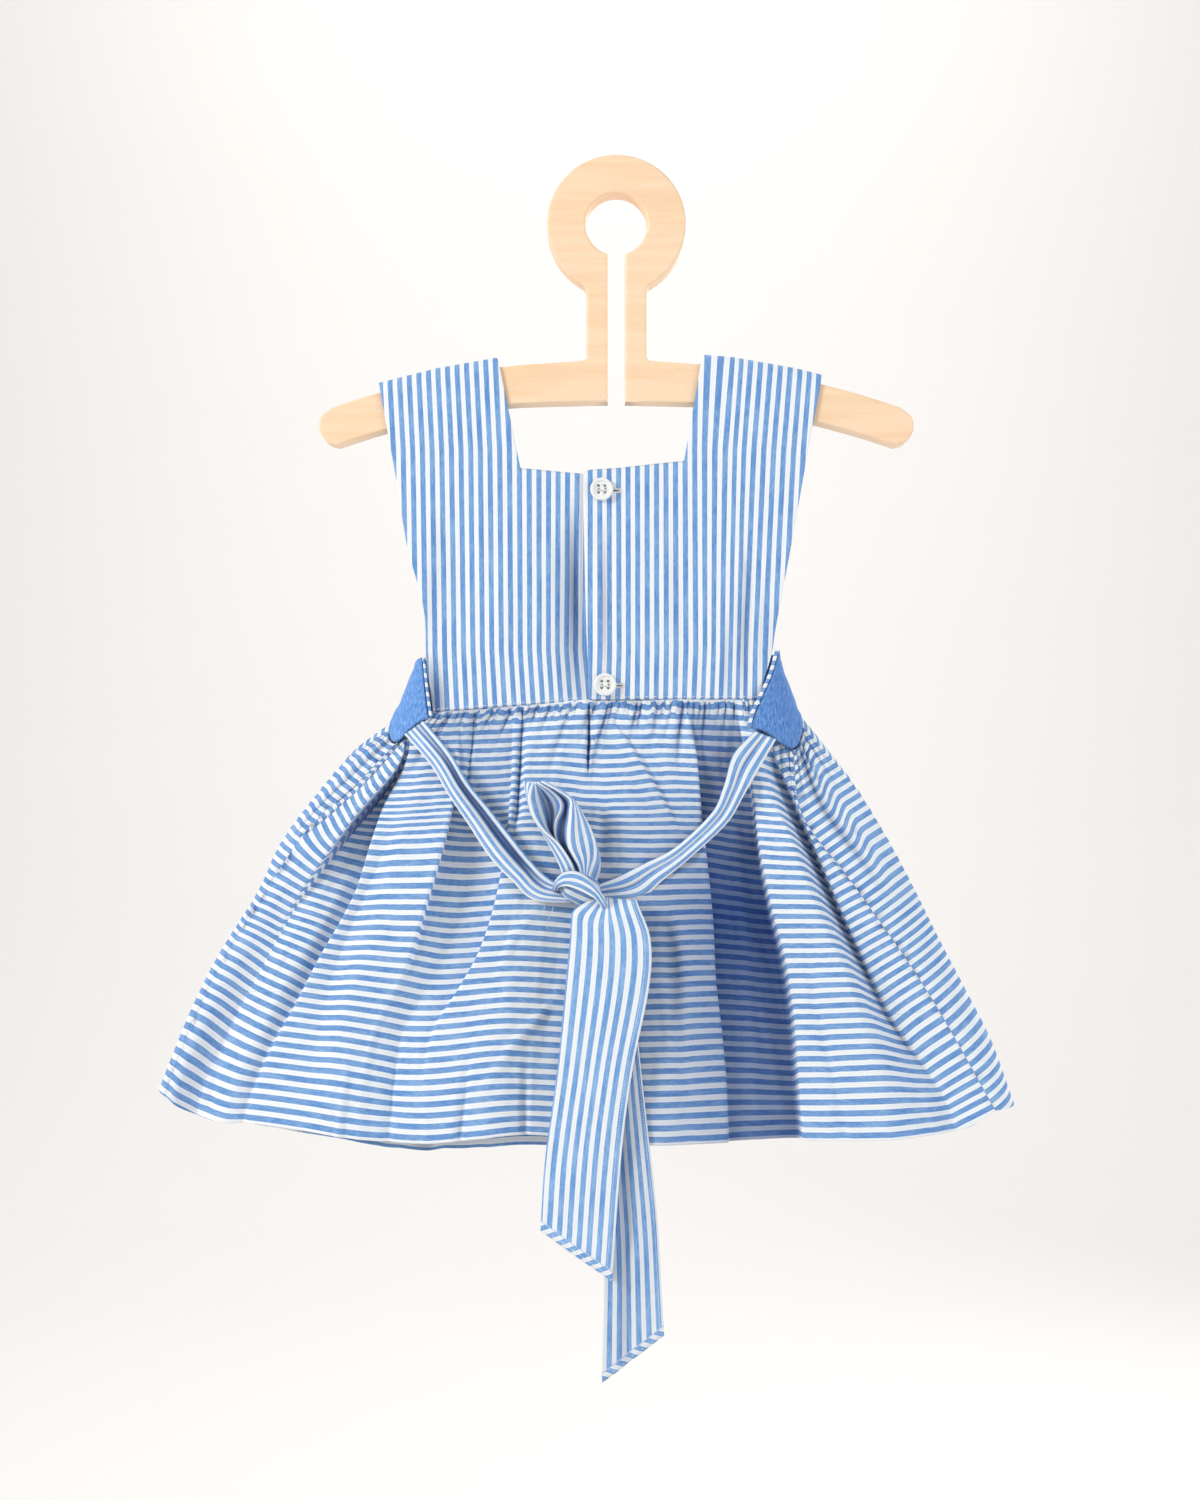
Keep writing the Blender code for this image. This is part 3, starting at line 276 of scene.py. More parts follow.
def feed(tree, value, socket):
    if isinstance(value, bpy.types.NodeSocket):
        tree.links.new(value, socket)
    else:
        socket.default_value = value


def wired(tree, kind, inputs, **settings):
    # a new node with its settings made and its inputs linked or set
    node = tree.nodes.new(kind)
    for key, value in settings.items():
        setattr(node, key, value)
    for label, value in inputs.items():
        feed(tree, value, node.inputs[label])
    return node


def calc(tree, operation, *values):
    return wired(tree, "ShaderNodeMath", dict(enumerate(values)), operation=operation).outputs[0]


def smoothMask(tree, value, low, high):
    # 0 below low, 1 above high
    return wired(tree, "ShaderNodeMapRange", {"Value": value, "From Min": low, "From Max": high},
                 interpolation_type="SMOOTHSTEP").outputs["Result"]


def blendColour(tree, share, first, second, blend="MIX"):
    return wired(tree, "ShaderNodeMix", {0: share, 6: first, 7: second}, data_type="RGBA",
                 blend_type=blend).outputs[2]


def scaled(tree, vector, scale, turn=0.0):
    return wired(tree, "ShaderNodeMapping", {"Vector": vector, "Scale": scale,
                                             "Rotation": (0.0, 0.0, turn)}).outputs["Vector"]


def noise(tree, vector, scale, detail=2.0, rough=0.5, warp=0.0):
    return wired(tree, "ShaderNodeTexNoise", {"Vector": vector, "Scale": scale, "Detail": detail,
                                              "Roughness": rough, "Distortion": warp}).outputs["Fac"]


weaveShape = {
    # share of the weave and of the fuzz in the relief; how fuzz, slubs and dye changes stretch over the cloth
    "weaveShare": 0.35, "fuzzShare": 0.9, "fuzz": 2.1, "slub": (1.5, 0.24, 1), "dye": (0.22, 0.05, 1),
}


def weaveGroup():
    # plain weave on cloth measured in millimetres: thread relief, fuzz and slow dye changes
    kind = weaveShape
    tree, given, made = groupTree(
        "plainWeave", [("Cloth", "NodeSocketVector", None), ("Thread", "NodeSocketFloat", 0.42)],
        [(label, "NodeSocketFloat") for label in ("Relief", "Slub", "Fuzz", "Dye")])
    cloth = given["Cloth"]
    split = wired(tree, "ShaderNodeSeparateXYZ", {0: cloth})
    waves = []
    for axis in (0, 1):
        turns = calc(tree, "DIVIDE", split.outputs[axis], given["Thread"])
        waves.append(calc(tree, "SINE", calc(tree, "MULTIPLY", turns, math.pi)))
    weave = calc(tree, "MULTIPLY", calc(tree, "MULTIPLY", *waves), kind["weaveShare"])
    fuzz = noise(tree, cloth, kind["fuzz"], 3.0, 0.65)
    values = {"Relief": calc(tree, "ADD", weave, calc(tree, "MULTIPLY", fuzz, kind["fuzzShare"])),
              "Slub": noise(tree, scaled(tree, cloth, kind["slub"]), 1.0, 3.0, 0.6), "Fuzz": fuzz,
              "Dye": noise(tree, scaled(tree, cloth, kind["dye"]), 1.0)}
    for label, value in values.items():
        tree.links.new(value, made[label])
    return tree


stripeShape = {
    "wobble": 0.22,
    "soft": 0.045,  # how uneven and how soft a stripe's edge is
    "mottle": (0.62, 1.22), "mottleShare": 0.9, "speck": (0.52, 0.72), "speckShare": 0.28, "lineAt": 0.13,
    "lineEdge": (0.02, 0.1), "lineShare": 0.75, "lineRelief": 0.5,
}


def stripeGroup(weave):
    # blue stripes across the first cloth axis, the white ones with a faint pair of raised lines
    kind = stripeShape
    tree, given, made = groupTree(
        "yarnStripe", [("Cloth", "NodeSocketVector", None), ("Repeat", "NodeSocketFloat", 5.34),
                       ("Blue Share", "NodeSocketFloat", 0.48)]
        + [(label, "NodeSocketColor", None) for label in ("Blue", "Deep Blue", "White", "Line")],
        [("Color", "NodeSocketColor"), ("Relief", "NodeSocketFloat")])
    cloth = wired(tree, "ShaderNodeGroup", {"Cloth": given["Cloth"]}, node_tree=weave).outputs
    across = wired(tree, "ShaderNodeSeparateXYZ", {0: given["Cloth"]}).outputs[0]
    wobble = calc(tree, "MULTIPLY", calc(tree, "SUBTRACT", cloth["Fuzz"], 0.5), kind["wobble"])
    place = calc(tree, "DIVIDE", calc(tree, "ADD", across, wobble), given["Repeat"])
    off = calc(tree, "ABSOLUTE", calc(tree, "SUBTRACT", calc(tree, "FRACT", place), 0.5))
    off = calc(tree, "MULTIPLY", off, 2.0)
    white = smoothMask(tree, off, calc(tree, "SUBTRACT", given["Blue Share"], kind["soft"]),
                       calc(tree, "ADD", given["Blue Share"], kind["soft"]))
    mottle = calc(tree, "ADD", calc(tree, "MULTIPLY", cloth["Slub"], kind["mottleShare"]),
                  calc(tree, "MULTIPLY", cloth["Dye"], kind["mottleShare"]))
    blue = blendColour(tree, smoothMask(tree, mottle, *kind["mottle"]), given["Deep Blue"], given["Blue"])
    speck = calc(tree, "MULTIPLY", smoothMask(tree, cloth["Fuzz"], *kind["speck"]), kind["speckShare"])
    blue = blendColour(tree, speck, blue, given["White"])
    pair = calc(tree, "ABSOLUTE", calc(tree, "SUBTRACT", calc(tree, "SUBTRACT", 1.0, off), kind["lineAt"]))
    pair = calc(tree, "SUBTRACT", 1.0, smoothMask(tree, pair, *kind["lineEdge"]))
    pale = blendColour(tree, calc(tree, "MULTIPLY", pair, kind["lineShare"]), given["White"], given["Line"])
    tree.links.new(blendColour(tree, white, blue, pale), made["Color"])
    raised = calc(tree, "MULTIPLY", pair, calc(tree, "MULTIPLY", white, kind["lineRelief"]))
    tree.links.new(calc(tree, "ADD", cloth["Relief"], raised), made["Relief"])
    return tree


cottonFinish = {
    "repeat": 5.34, "blueShare": 0.54, "blue": (136, 174, 218), "deepBlue": (88, 138, 198),
    "white": (240, 242, 243), "line": (224, 227, 231),
    "foldShade": (84, 106, 150),  # painted shade: what the colour is multiplied by in the deepest folds
    "rough": 0.86, "sheen": 0.12, "specular": 0.2,
    "relief": 0.05,  # millimetres
}
tiePaintedLightFinish = {"blue": (148, 186, 228), "deepBlue": (100, 150, 208)}  # the ties' blues are paler: painted light, standing in for the stronger light on the ties
chambrayFinish = {
    "warp": (84, 134, 206), "weft": (132, 176, 231), "deep": (60, 108, 186), "rough": 0.88, "sheen": 0.15,
    "specular": 0.2, "relief": 0.06, "thread": 0.5, "streak": (1.6, 0.35, 1), "streakTurn": 38,
    "streakEdge": (0.36, 0.66), "darkEdge": (0.5, 0.75), "darkShare": 0.6,
}
mapleFinish = {
    "pale": (248, 216, 182), "warm": (243, 205, 166), "fleck": (222, 170, 120), "rough": 0.42,
    "specular": 0.4,
    # noise scales along and across the board
    "bend": (9, 30, 30), "grain": (26, 420, 420), "figure": (7, 85, 85), "flecks": (160, 1900, 1900),
    "figureShare": 0.6, "grainShare": 0.4, "bendShare": 0.25, "warmEdge": (0.38, 0.66),
    "fleckEdge": (0.66, 0.8), "fleckShare": 0.35, "roughGrain": 0.14, "relief": 0.05,
}
resinFinish = {
    "face": (244, 244, 240), "swirl": (230, 231, 228), "rough": 0.28, "specular": 0.5, "swirlScale": 260,
    "roughSwirl": 0.12,
}
threadFinish = {
    "colours": {"whiteThread": (246, 246, 246), "blueThread": (92, 132, 196), "slitShade": (30, 44, 92)},
    "darker": 0.86, "rough": 0.8, "sheen": 0.1, "specular": 0.25, "twistScale": 2600, "relief": 0.04,
}


sheenRough = 0.45


def material(name, kind):
    paint = bpy.data.materials.new(name)
    paint.use_nodes = True
    shader = paint.node_tree.nodes["Principled BSDF"]
    shader.inputs["Roughness"].default_value = kind["rough"]
    shader.inputs["Sheen Weight"].default_value = kind.get("sheen", 0.0)
    shader.inputs["Sheen Roughness"].default_value = sheenRough
    shader.inputs["Specular IOR Level"].default_value = kind["specular"]
    return paint, paint.node_tree, shader


def addRelief(tree, shader, height, depth):
    bump = wired(tree, "ShaderNodeBump", {"Distance": depth * mm, "Height": height})
    tree.links.new(bump.outputs["Normal"], shader.inputs["Normal"])


def clothPlace(tree):
    cut = wired(tree, "ShaderNodeUVMap", {}, uv_map="cut")
    return scaled(tree, cut.outputs["UV"], (uvUnit, uvUnit, 1.0))


def darkenedByPaintedShade(tree, colour):
    # the colour darkened by painted shade, as much as each point's foldShade says
    fold = wired(tree, "ShaderNodeAttribute", {}, attribute_name="foldShade")
    return blendColour(tree, fold.outputs["Fac"], colour, tone(*cottonFinish["foldShade"]), "MULTIPLY")


def makeCotton(name, stripes, kind):
    paint, tree, shader = material(name, kind)
    colours = {"Blue": "blue", "Deep Blue": "deepBlue", "White": "white", "Line": "line"}
    given = {"Cloth": clothPlace(tree), "Repeat": kind["repeat"], "Blue Share": kind["blueShare"],
             **{label: tone(*kind[key]) for label, key in colours.items()}}
    pattern = wired(tree, "ShaderNodeGroup", given, node_tree=stripes)
    tree.links.new(darkenedByPaintedShade(tree, pattern.outputs["Color"]), shader.inputs["Base Color"])
    addRelief(tree, shader, pattern.outputs["Relief"], kind["relief"])
    return paint


def makeChambray(weave):
    kind = chambrayFinish
    paint, tree, shader = material("blueChambray", kind)
    place = clothPlace(tree)
    given = {"Cloth": place, "Thread": kind["thread"]}
    cloth = wired(tree, "ShaderNodeGroup", given, node_tree=weave).outputs
    streak = noise(tree, scaled(tree, place, kind["streak"], math.radians(kind["streakTurn"])), 1.0, 3.0, 0.6)
    streak = smoothMask(tree, streak, *kind["streakEdge"])
    colour = blendColour(tree, streak, tone(*kind["warp"]), tone(*kind["weft"]))
    dark = calc(tree, "MULTIPLY", smoothMask(tree, cloth["Slub"], *kind["darkEdge"]), kind["darkShare"])
    colour = blendColour(tree, dark, colour, tone(*kind["deep"]))
    tree.links.new(darkenedByPaintedShade(tree, colour), shader.inputs["Base Color"])
    addRelief(tree, shader, cloth["Relief"], kind["relief"])
    return paint


def makeMaple():
    kind = mapleFinish
    paint, tree, shader = material("mapleWood", kind)
    place = tree.nodes.new("ShaderNodeTexCoord").outputs["Object"]
    bend = noise(tree, scaled(tree, place, kind["bend"]), 1.0)
    grain = noise(tree, scaled(tree, place, kind["grain"]), 1.0, 4.0, 0.62, 0.6)
    figure = noise(tree, scaled(tree, place, kind["figure"]), 1.0, 2.0, 0.5, 1.2)
    fleck = noise(tree, scaled(tree, place, kind["flecks"]), 1.0, 1.0)
    share = calc(tree, "ADD", calc(tree, "MULTIPLY", figure, kind["figureShare"]),
                 calc(tree, "MULTIPLY", grain, kind["grainShare"]))
    bend = calc(tree, "MULTIPLY", calc(tree, "SUBTRACT", bend, 0.5), kind["bendShare"])
    share = smoothMask(tree, calc(tree, "ADD", share, bend), *kind["warmEdge"])
    colour = blendColour(tree, share, tone(*kind["pale"]), tone(*kind["warm"]))
    marks = calc(tree, "MULTIPLY", smoothMask(tree, fleck, *kind["fleckEdge"]), kind["fleckShare"])
    colour = blendColour(tree, marks, colour, tone(*kind["fleck"]))
    tree.links.new(colour, shader.inputs["Base Color"])
    uneven = calc(tree, "MULTIPLY", grain, kind["roughGrain"])
    uneven = calc(tree, "ADD", uneven, kind["rough"] - kind["roughGrain"] / 2)
    tree.links.new(uneven, shader.inputs["Roughness"])
    addRelief(tree, shader, grain, kind["relief"])
    return paint


def makeResin():
    kind = resinFinish
    paint, tree, shader = material("buttonResin", kind)
    place = tree.nodes.new("ShaderNodeTexCoord").outputs["Object"]
    swirl = noise(tree, place, kind["swirlScale"], 3.0, 0.5, 1.5)
    colour = blendColour(tree, swirl, tone(*kind["face"]), tone(*kind["swirl"]))
    tree.links.new(colour, shader.inputs["Base Color"])
    uneven = calc(tree, "MULTIPLY_ADD", swirl, kind["roughSwirl"], kind["rough"])
    tree.links.new(uneven, shader.inputs["Roughness"])
    return paint


def makeThread(name, colour):
    kind = threadFinish
    paint, tree, shader = material(name, kind)
    twist = noise(tree, tree.nodes.new("ShaderNodeTexCoord").outputs["Object"], kind["twistScale"])
    darker = tuple(c * kind["darker"] for c in colour)
    tree.links.new(blendColour(tree, twist, tone(*darker), tone(*colour)), shader.inputs["Base Color"])
    addRelief(tree, shader, twist, kind["relief"])
    return paint


def makeFinishes():
    weave = weaveGroup()
    stripes = stripeGroup(weave)
    made = {"cotton": makeCotton("stripedCotton", stripes, cottonFinish),
            "tieCotton": makeCotton("stripedTieCottonPaintedLight", stripes, {**cottonFinish, **tiePaintedLightFinish}),
            "chambray": makeChambray(weave), "maple": makeMaple(), "resin": makeResin()}
    for name, colour in threadFinish["colours"].items():
        made[name] = makeThread(name, colour)
    print("finishes made")
    return made


hangerShape = {
    "board": 16, "ease": 2.6, "easeSteps": 4, "ring": 38.8, "hole": 17.2, "stem": 16.8, "fillet": 5,
    "armFillet": 2.7, "slot": 4.85,
    "armTop": (
        (0, -19.5, -93.2), (0.3, -65.4, -96.9), (0.55, -100.5, -103.1), (0.8, -133.4, -111.4),
        (1, -157.9, -119.2)),
    "armTip": (
        (0, -157.9, -119.2), (0.22, -164, -123.7), (0.42, -165.9, -128.7), (0.62, -164.6, -134.2),
        (0.8, -161.2, -138.7), (1, -155.7, -140.6)),
    "armBottom": (
        (0, -155.7, -140.6), (0.25, -131.2, -132.8), (0.5, -98.3, -124.5), (0.75, -62.1, -118.1),
        (1, -4.85, -116.2)),
}


def arc(centre, radius, start, end, steps):
    turn = np.radians(np.linspace(start, end, steps + 1))
    return np.stack([centre[0] + radius * np.cos(turn), centre[1] + radius * np.sin(turn)], 1)


def makeHanger(finishes):
    shape = hangerShape
    hole = (0.0, -shape["hole"])
    filletX = -shape["stem"] - shape["fillet"]
    filletDrop = math.sqrt((shape["ring"] + shape["fillet"]) ** 2 - filletX ** 2)
    ringEnd = 180.0 + math.degrees(math.atan2(filletDrop, -filletX))
    corner = (-shape["stem"] - shape["armFillet"], shape["armTop"][0][2] + shape["armFillet"])
    slotTop = math.degrees(math.asin(shape["slot"] / shape["hole"]))
    parts = [arc(hole, shape["ring"], 90.0, ringEnd, 60),
             arc((filletX, hole[1] - filletDrop), shape["fillet"], ringEnd - 180.0, 0.0, 10)[1:],
             arc(corner, shape["armFillet"], 0.0, -90.0, 7)]
    for key, steps in (("armTop", 20), ("armTip", 20), ("armBottom", 20)):
        parts.append(through(shape[key], np.linspace(0.0, 1.0, steps + 1))[1:])
    parts.append(arc(hole, shape["hole"], 270.0 - slotTop, 90.0, 44))
    left = np.concatenate(parts)
    loop = np.concatenate([left, (left * (-1.0, 1.0))[-2:0:-1]]) * mm
    deep = shape["board"] / 2 * mm
    board = bmesh.new()
    face = board.faces.new([board.verts.new((x, -deep, z)) for x, z in loop])
    swept = bmesh.ops.extrude_face_region(board, geom=[face])
    moved = [item for item in swept["geom"] if isinstance(item, bmesh.types.BMVert)]
    bmesh.ops.translate(board, verts=moved, vec=(0.0, 2 * deep, 0.0))
    bmesh.ops.recalc_face_normals(board, faces=board.faces)
    rims = [edge for edge in board.edges if abs(edge.verts[0].co.y - edge.verts[1].co.y) < 1e-6]
    bmesh.ops.bevel(board, geom=rims, offset=shape["ease"] * mm, segments=shape["easeSteps"], profile=0.5,
                    affect="EDGES", clamp_overlap=True)
    mesh = bpy.data.meshes.new("woodenHanger")
    board.to_mesh(mesh)
    board.free()
    mesh.shade_smooth()
    mesh.materials.append(finishes["maple"])
    hanger = link(bpy.data.objects.new("woodenHanger", mesh))
    flatten = hanger.modifiers.new("evenShading", "WEIGHTED_NORMAL")
    flatten.keep_sharp = True
    carry(hanger, "hanger")
    print("hanger made")


bodiceShape = {
    "rows": 86, "strapRows": 40, "turnRows": 10, "lastRow": 0.006, "step": 1.5, "edgeSteps": (0, 0.3, 0.8),
    "half": 0.42, "rim": 0.8, "seamReach": 2, "stitched": {"left": (-101, -17), "right": (-14, 77.5)},
    "stitchPoints": 60,
    # painted shade inside the front panel under the neck: from this height, over this much, how dark
    "neckShade": (-168, 8, 0.95),
    "leanLevel": -215,  # height at which the front's stripes keep their place
    "leftArmhole": ((0, -101.6), (0.2, -105.3), (0.42, -106.9), (0.69, -116.4), (0.94, -121.9), (1, -123.4)),
    "leftNeck": ((0, -54.5), (1, -53.4)), "leftLap": ((0, 7.5), (1, 4.7)),
    "rightLap": ((0, -15.3), (0.35, -16.9), (0.7, -18), (1, -18.6)), "rightNeck": ((0, 38.5), (1, 37.6)),
    "rightArmhole": ((0, 79), (0.11, 83), (0.2, 86.2), (0.29, 88), (0.58, 95.3), (0.76, 99.7), (1, 105.3)),
    "neckLevel": (
        (-123.4, -154.5), (-53.4, -153.4), (-18.6, -156.5), (4.7, -155), (37.6, -149.4), (105.3, -150.5)),
    "waist": ((-101.6, -289.6), (-54.5, -286), (-15.3, -282.9), (38.5, -282.4), (79, -282.5)),
    "strapRidge": {"left": (-133.1, -67), "right": (48.7, 115.4)}, "frontNeckDrop": 6, "frontInset": 1.5,
    "strapSide": 9.2, "waistDepth": 14, "flareTop": -125, "flareLength": 160, "overArm": 6, "strapRound": 7,
    "lapStep": 0.9, "seamHalf": 0.32,
    # stripe lean by x: how far a stripe shifts for each millimetre of height
    "lean": ((-130, 0.06), (-70, 0.052), (-16, 0.022), (5, 0), (50, -0.045), (100, -0.095)),
    # the same for each back panel: x, shift, then the lean of the straps, the yoke and just above the waist
    "leftHang": (
        (-130, 2, 0.055, 0.022, 0.045), (-105, 2.2, 0.05, 0.018, 0.045), (-68, 2.6, 0.05, 0.012, 0.055),
        (-42, 2.9, 0.03, 0.002, 0.07), (-22, 3.9, 0, -0.01, 0.085)),
    "rightHang": (
        (-18, 1.2, 0, 0, -0.02), (-2, 1.2, 0, 0.004, -0.035), (13, 1.7, 0, 0, -0.01),
        (30, 1.8, 0, 0.002, -0.02), (47, 1.6, -0.02, 0.004, -0.045), (63, 2.7, -0.078, -0.024, -0.03),
        (72, 4.6, -0.076, -0.04, -0.02), (100, 4.8, -0.08, -0.055, -0.02)),
    "hangLevels": (-143.5, -254.7, -227),
    "lapTop": ((-18.6, -0.8), (-18, 0.5), (-16.6, 1.4), (-14, 1.8), (7, 1.8), (22, 1), (37.6, 0)),
    # streaks of painted shade beside folds and seams, written as the creases below are, the last figure is
    # how dark
    "shadeStreaks": (
        (-24.6, -168, -23, -286, 7, 4.5, 0.8), (-19.2, -150, -18.6, -292, 2.4, 1.4, 0.6),
        (-34, -186, -29, -286, 6, 6, 0.3), (-7.6, -182, -6.4, -276, 2.6, 2.6, 0.45),
        (-104, -256, -96, -304, 6, 9, 0.75), (-100, -176, -106, -262, 4, 9, 0.14),
        (74, -196, 71, -286, 6, 3, 0.45), (82, -214, 78, -278, 2, 3, 0.25), (61, -232, 60, -290, 3, 4, 0.22),
        (30, -176, 34, -282, 6, 6, 0.12)),
    # valley or ridge from one point to another: x, z, to x, to z, width each side, rise
    "backCreases": (
        (-27, -172, -21, -262, 9, 10, -1.9), (-21, -196, -19.5, -266, 3, 2.5, -1.1),
        (-40, -205, -30, -275, 8, 9, -1.2), (-13, -180, -9, -262, 4, 5, 0.7),
        (-4.5, -176, -3, -268, 3, 3, -0.7), (66, -186, 72, -232, 6, 3, 1.2), (72, -200, 70, -284, 7, 4, -2),
        (80, -196, 86, -222, 1.6, 3, 0.7), (84, -222, 79, -276, 4, 6, 1.9), (62, -235, 60, -286, 3, 4, -0.8),
        (48, -250, 47, -288, 3, 4, -0.6), (-84, -180, -92, -270, 12, 12, -1.2),
        (-60, -200, -66, -280, 14, 12, 0.8), (20, -180, 24, -270, 10, 12, -0.6),
        (-112, -120, -104, -170, 7, 7, 0.6), (-76, -112, -72, -160, 5, 6, -0.5),
        (78, -108, 70, -170, 8, 8, 0.6), (104, -118, 97, -178, 5, 5, -0.5)),
    "frontCreases": (
        (-70, -190, -60, -280, 14, 9, 1.6), (-20, -176, -26, -262, 8, 12, -1.4),
        (6, -200, 10, -286, 12, 9, 1.2), (44, -186, 36, -280, 9, 12, -1.6), (76, -180, 68, -270, 10, 8, 1.2),
        (-96, -170, -88, -276, 8, 10, -1.2)),
}


# piece, node, panel, its edge lines, and which strap starts between each two of them
bodicePanels = (
    ("bodiceBackLeft", "bodice_back_left", "left", ("leftArmhole", "leftNeck", "leftLap"), ("left", None)),
    (
        "bodiceBackRight", "bodice_back_right", "right", ("rightLap", "rightNeck", "rightArmhole"),
        (None, "right")),
    (
        "bodiceFront", "bodice_front", "front", ("leftArmhole", "leftNeck", "rightNeck", "rightArmhole"),
        ("left", None, "right")),
)


def pulls(creases, x, z):
    # summed rise of pulls in the cloth; each fades towards its ends and its sides
    total = np.zeros_like(x)
    for startX, startZ, endX, endZ, widthLeft, widthRight, rise in creases:
        runX, runZ = endX - startX, endZ - startZ
        length = math.hypot(runX, runZ)
        part = ((x - startX) * runX + (z - startZ) * runZ) / length ** 2
        across = ((x - startX) * runZ - (z - startZ) * runX) / length * np.sign(runZ)
        away = np.where(across < 0, -across / widthLeft, across / widthRight)
        live = (part > 0) & (part < 1) & (away < 1)
        swell = rise * np.sin(math.pi * part.clip(0, 1)) * np.cos(away.clip(0, 1) * math.pi / 2) ** 2
        total += np.where(live, swell, 0)
    return total


def bodiceDepth(z):
    shape = bodiceShape
    return mix(shape["strapSide"], shape["waistDepth"], ease((shape["flareTop"] - z) / shape["flareLength"]))


def lapShift(x, panel):
    if panel == "left":
        return bodiceShape["lapStep"] * ease((x + 45.0) / 22.0)
    if panel == "right":
        return -bodiceShape["lapStep"] * (1.0 - ease((x - 10.0) / 22.0))
    return np.zeros_like(x)


def bodicePoint(x, z, panel):
    # point of the bodice's middle surface
    shape = bodiceShape
    if panel == "front":
        y = bodiceDepth(z) + pulls(shape["frontCreases"], x, z) + 0.25 * ripple(x, z, 31, 38.0)
    else:
        y = -bodiceDepth(z) - pulls(shape["backCreases"], x, z) + lapShift(x, panel)
        y = y - 0.16 * ripple(x, z, 7, 34.0) * ease((-150.0 - z) / 30.0)
    return np.stack([x, y, z], -1)


def strapColumn(panel, strap, part, startX, startZ):
    # one column of a strap up and over the hanger's arm: its points, and heights along the cloth
    shape = bodiceShape
    side, radius = 1.0 if panel == "front" else -1.0, shape["strapRound"]
    ends = shape["strapRidge"][strap]
    if panel == "front":
        inset = shape["frontInset"]
        ends = (ends[0] + inset * (strap == "left"), ends[1] - inset * (strap == "right"))
    ridgeX = mix(*ends, part)
    ridgeZ = heightAt(np.array(hangerShape["armTop"])[::-1, 1:], -abs(ridgeX)) + shape["overArm"]
    turnZ = ridgeZ - radius
    length = turnZ - startZ + radius * math.pi / 2
    climb = (turnZ - startZ) * (np.arange(1, shape["strapRows"] + 1) / shape["strapRows"])
    face = "front" if panel == "front" else "back"
    flatPart = bodicePoint(mix(startX, ridgeX, climb / length), startZ + climb, face)
    turn = np.linspace(0.0, math.pi / 2, shape["turnRows"] + 1)[1:]
    climbTurn = turnZ - startZ + radius * turn
    bend = shape["strapSide"] - radius + radius * np.cos(turn)
    bent = np.stack([mix(startX, ridgeX, climbTurn / length), side * bend, turnZ + radius * np.sin(turn)], -1)
    last = np.array([[ridgeX, side * shape["seamHalf"], ridgeZ]])
    heights = startZ + np.concatenate([climb, climbTurn, [climbTurn[-1] + shape["seamReach"]]])
    return np.concatenate([flatPart, bent, last]), heights


def panelPattern(panel, x, height):
    # sideways shift of a panel's stripes, and the painted shade on each of its two sides
    shape = bodiceShape
    if panel == "front":
        start, over, dark = shape["neckShade"]
        shift = heightAt(shape["lean"], x) * (height - shape["leanLevel"])
        return shift, dark * ease((height - start) / over), np.zeros_like(height)
    table = np.array(shape[panel + "Hang"])
    start, upper, middle, lower = (np.interp(x, table[:, 0], table[:, k]) for k in (1, 2, 3, 4))
    top, bottom, level = shape["hangLevels"]
    shift = start + upper * np.maximum(height - top, 0) + lower * np.minimum(height - bottom, 0) \
        + middle * (np.clip(height, bottom, top) - level)
    shade = pulls(shape["shadeStreaks"], x, height).clip(0, 1)
    return shift, shade, shade


def makeBodicePanel(name, node, panel, lines, straps, finishes):
    shape = bodiceShape
    inset, drop = (shape["frontInset"], shape["frontNeckDrop"]) if panel == "front" else (0.0, 0.0)
    down = np.linspace(1.0, 0.0, shape["rows"] + 1)
    down = np.concatenate([down[:-1], [shape["lastRow"], 0.0]])
    edges = [through(shape[line], down)[:, 0] for line in lines]
    edges[0], edges[-1] = edges[0] + inset, edges[-1] - inset
    columns, block = [], []
    for index in range(len(lines) - 1):
        width = abs(edges[index + 1][0] - edges[index][0])
        part = stations(width, shape["step"], shape["edgeSteps"])[min(index, 1):]
        columns.append(mix(edges[index][:, None], edges[index + 1][:, None], part[None]))
        block += [(index, p) for p in part]
    x = np.concatenate(columns, 1)
    foot = heightAt(shape["waist"], x) + shape["seamHalf"]
    head = heightAt(shape["neckLevel"], x) - drop
    if panel == "right":
        head = head + heightAt(shape["lapTop"], x)
    z = mix(foot, head, down[:, None])
    upper = np.full((shape["strapRows"] + shape["turnRows"] + 1, len(block), 3), np.nan)
    tall = np.full(upper.shape[:2], np.nan)
    for column, (index, part) in enumerate(block):
        strap = straps[index]
        if strap is None and part == 1.0 and index + 1 < len(straps):
            strap, part = straps[index + 1], 0.0
        if strap is not None:
            upper[:, column], tall[:, column] = strapColumn(panel, strap, part, x[0, column], z[0, column])
    grid = np.concatenate([upper[::-1], bodicePoint(x, z, panel)])
    height = np.concatenate([tall[::-1], z])
    shift, shade, behind = panelPattern(panel, grid[..., 0], height)
    flat = np.stack([grid[..., 0] + shift, -height], -1)
    cloth = np.isfinite(grid[..., 0])
    keep = cloth[:-1, :-1] & cloth[1:, :-1] & cloth[:-1, 1:] & cloth[1:, 1:]
    grid, flat, shade, behind = (np.nan_to_num(part) for part in (grid, flat, shade, behind))
    piece = shell(name, grid, flat, shape["half"], finishes["cotton"], keep, shape["rim"], shade=shade,
                  innerShade=behind)
    declare(piece, node)


def makeBodice(finishes):
    for panel in bodicePanels:
        makeBodicePanel(*panel, finishes)
    print("bodice made")


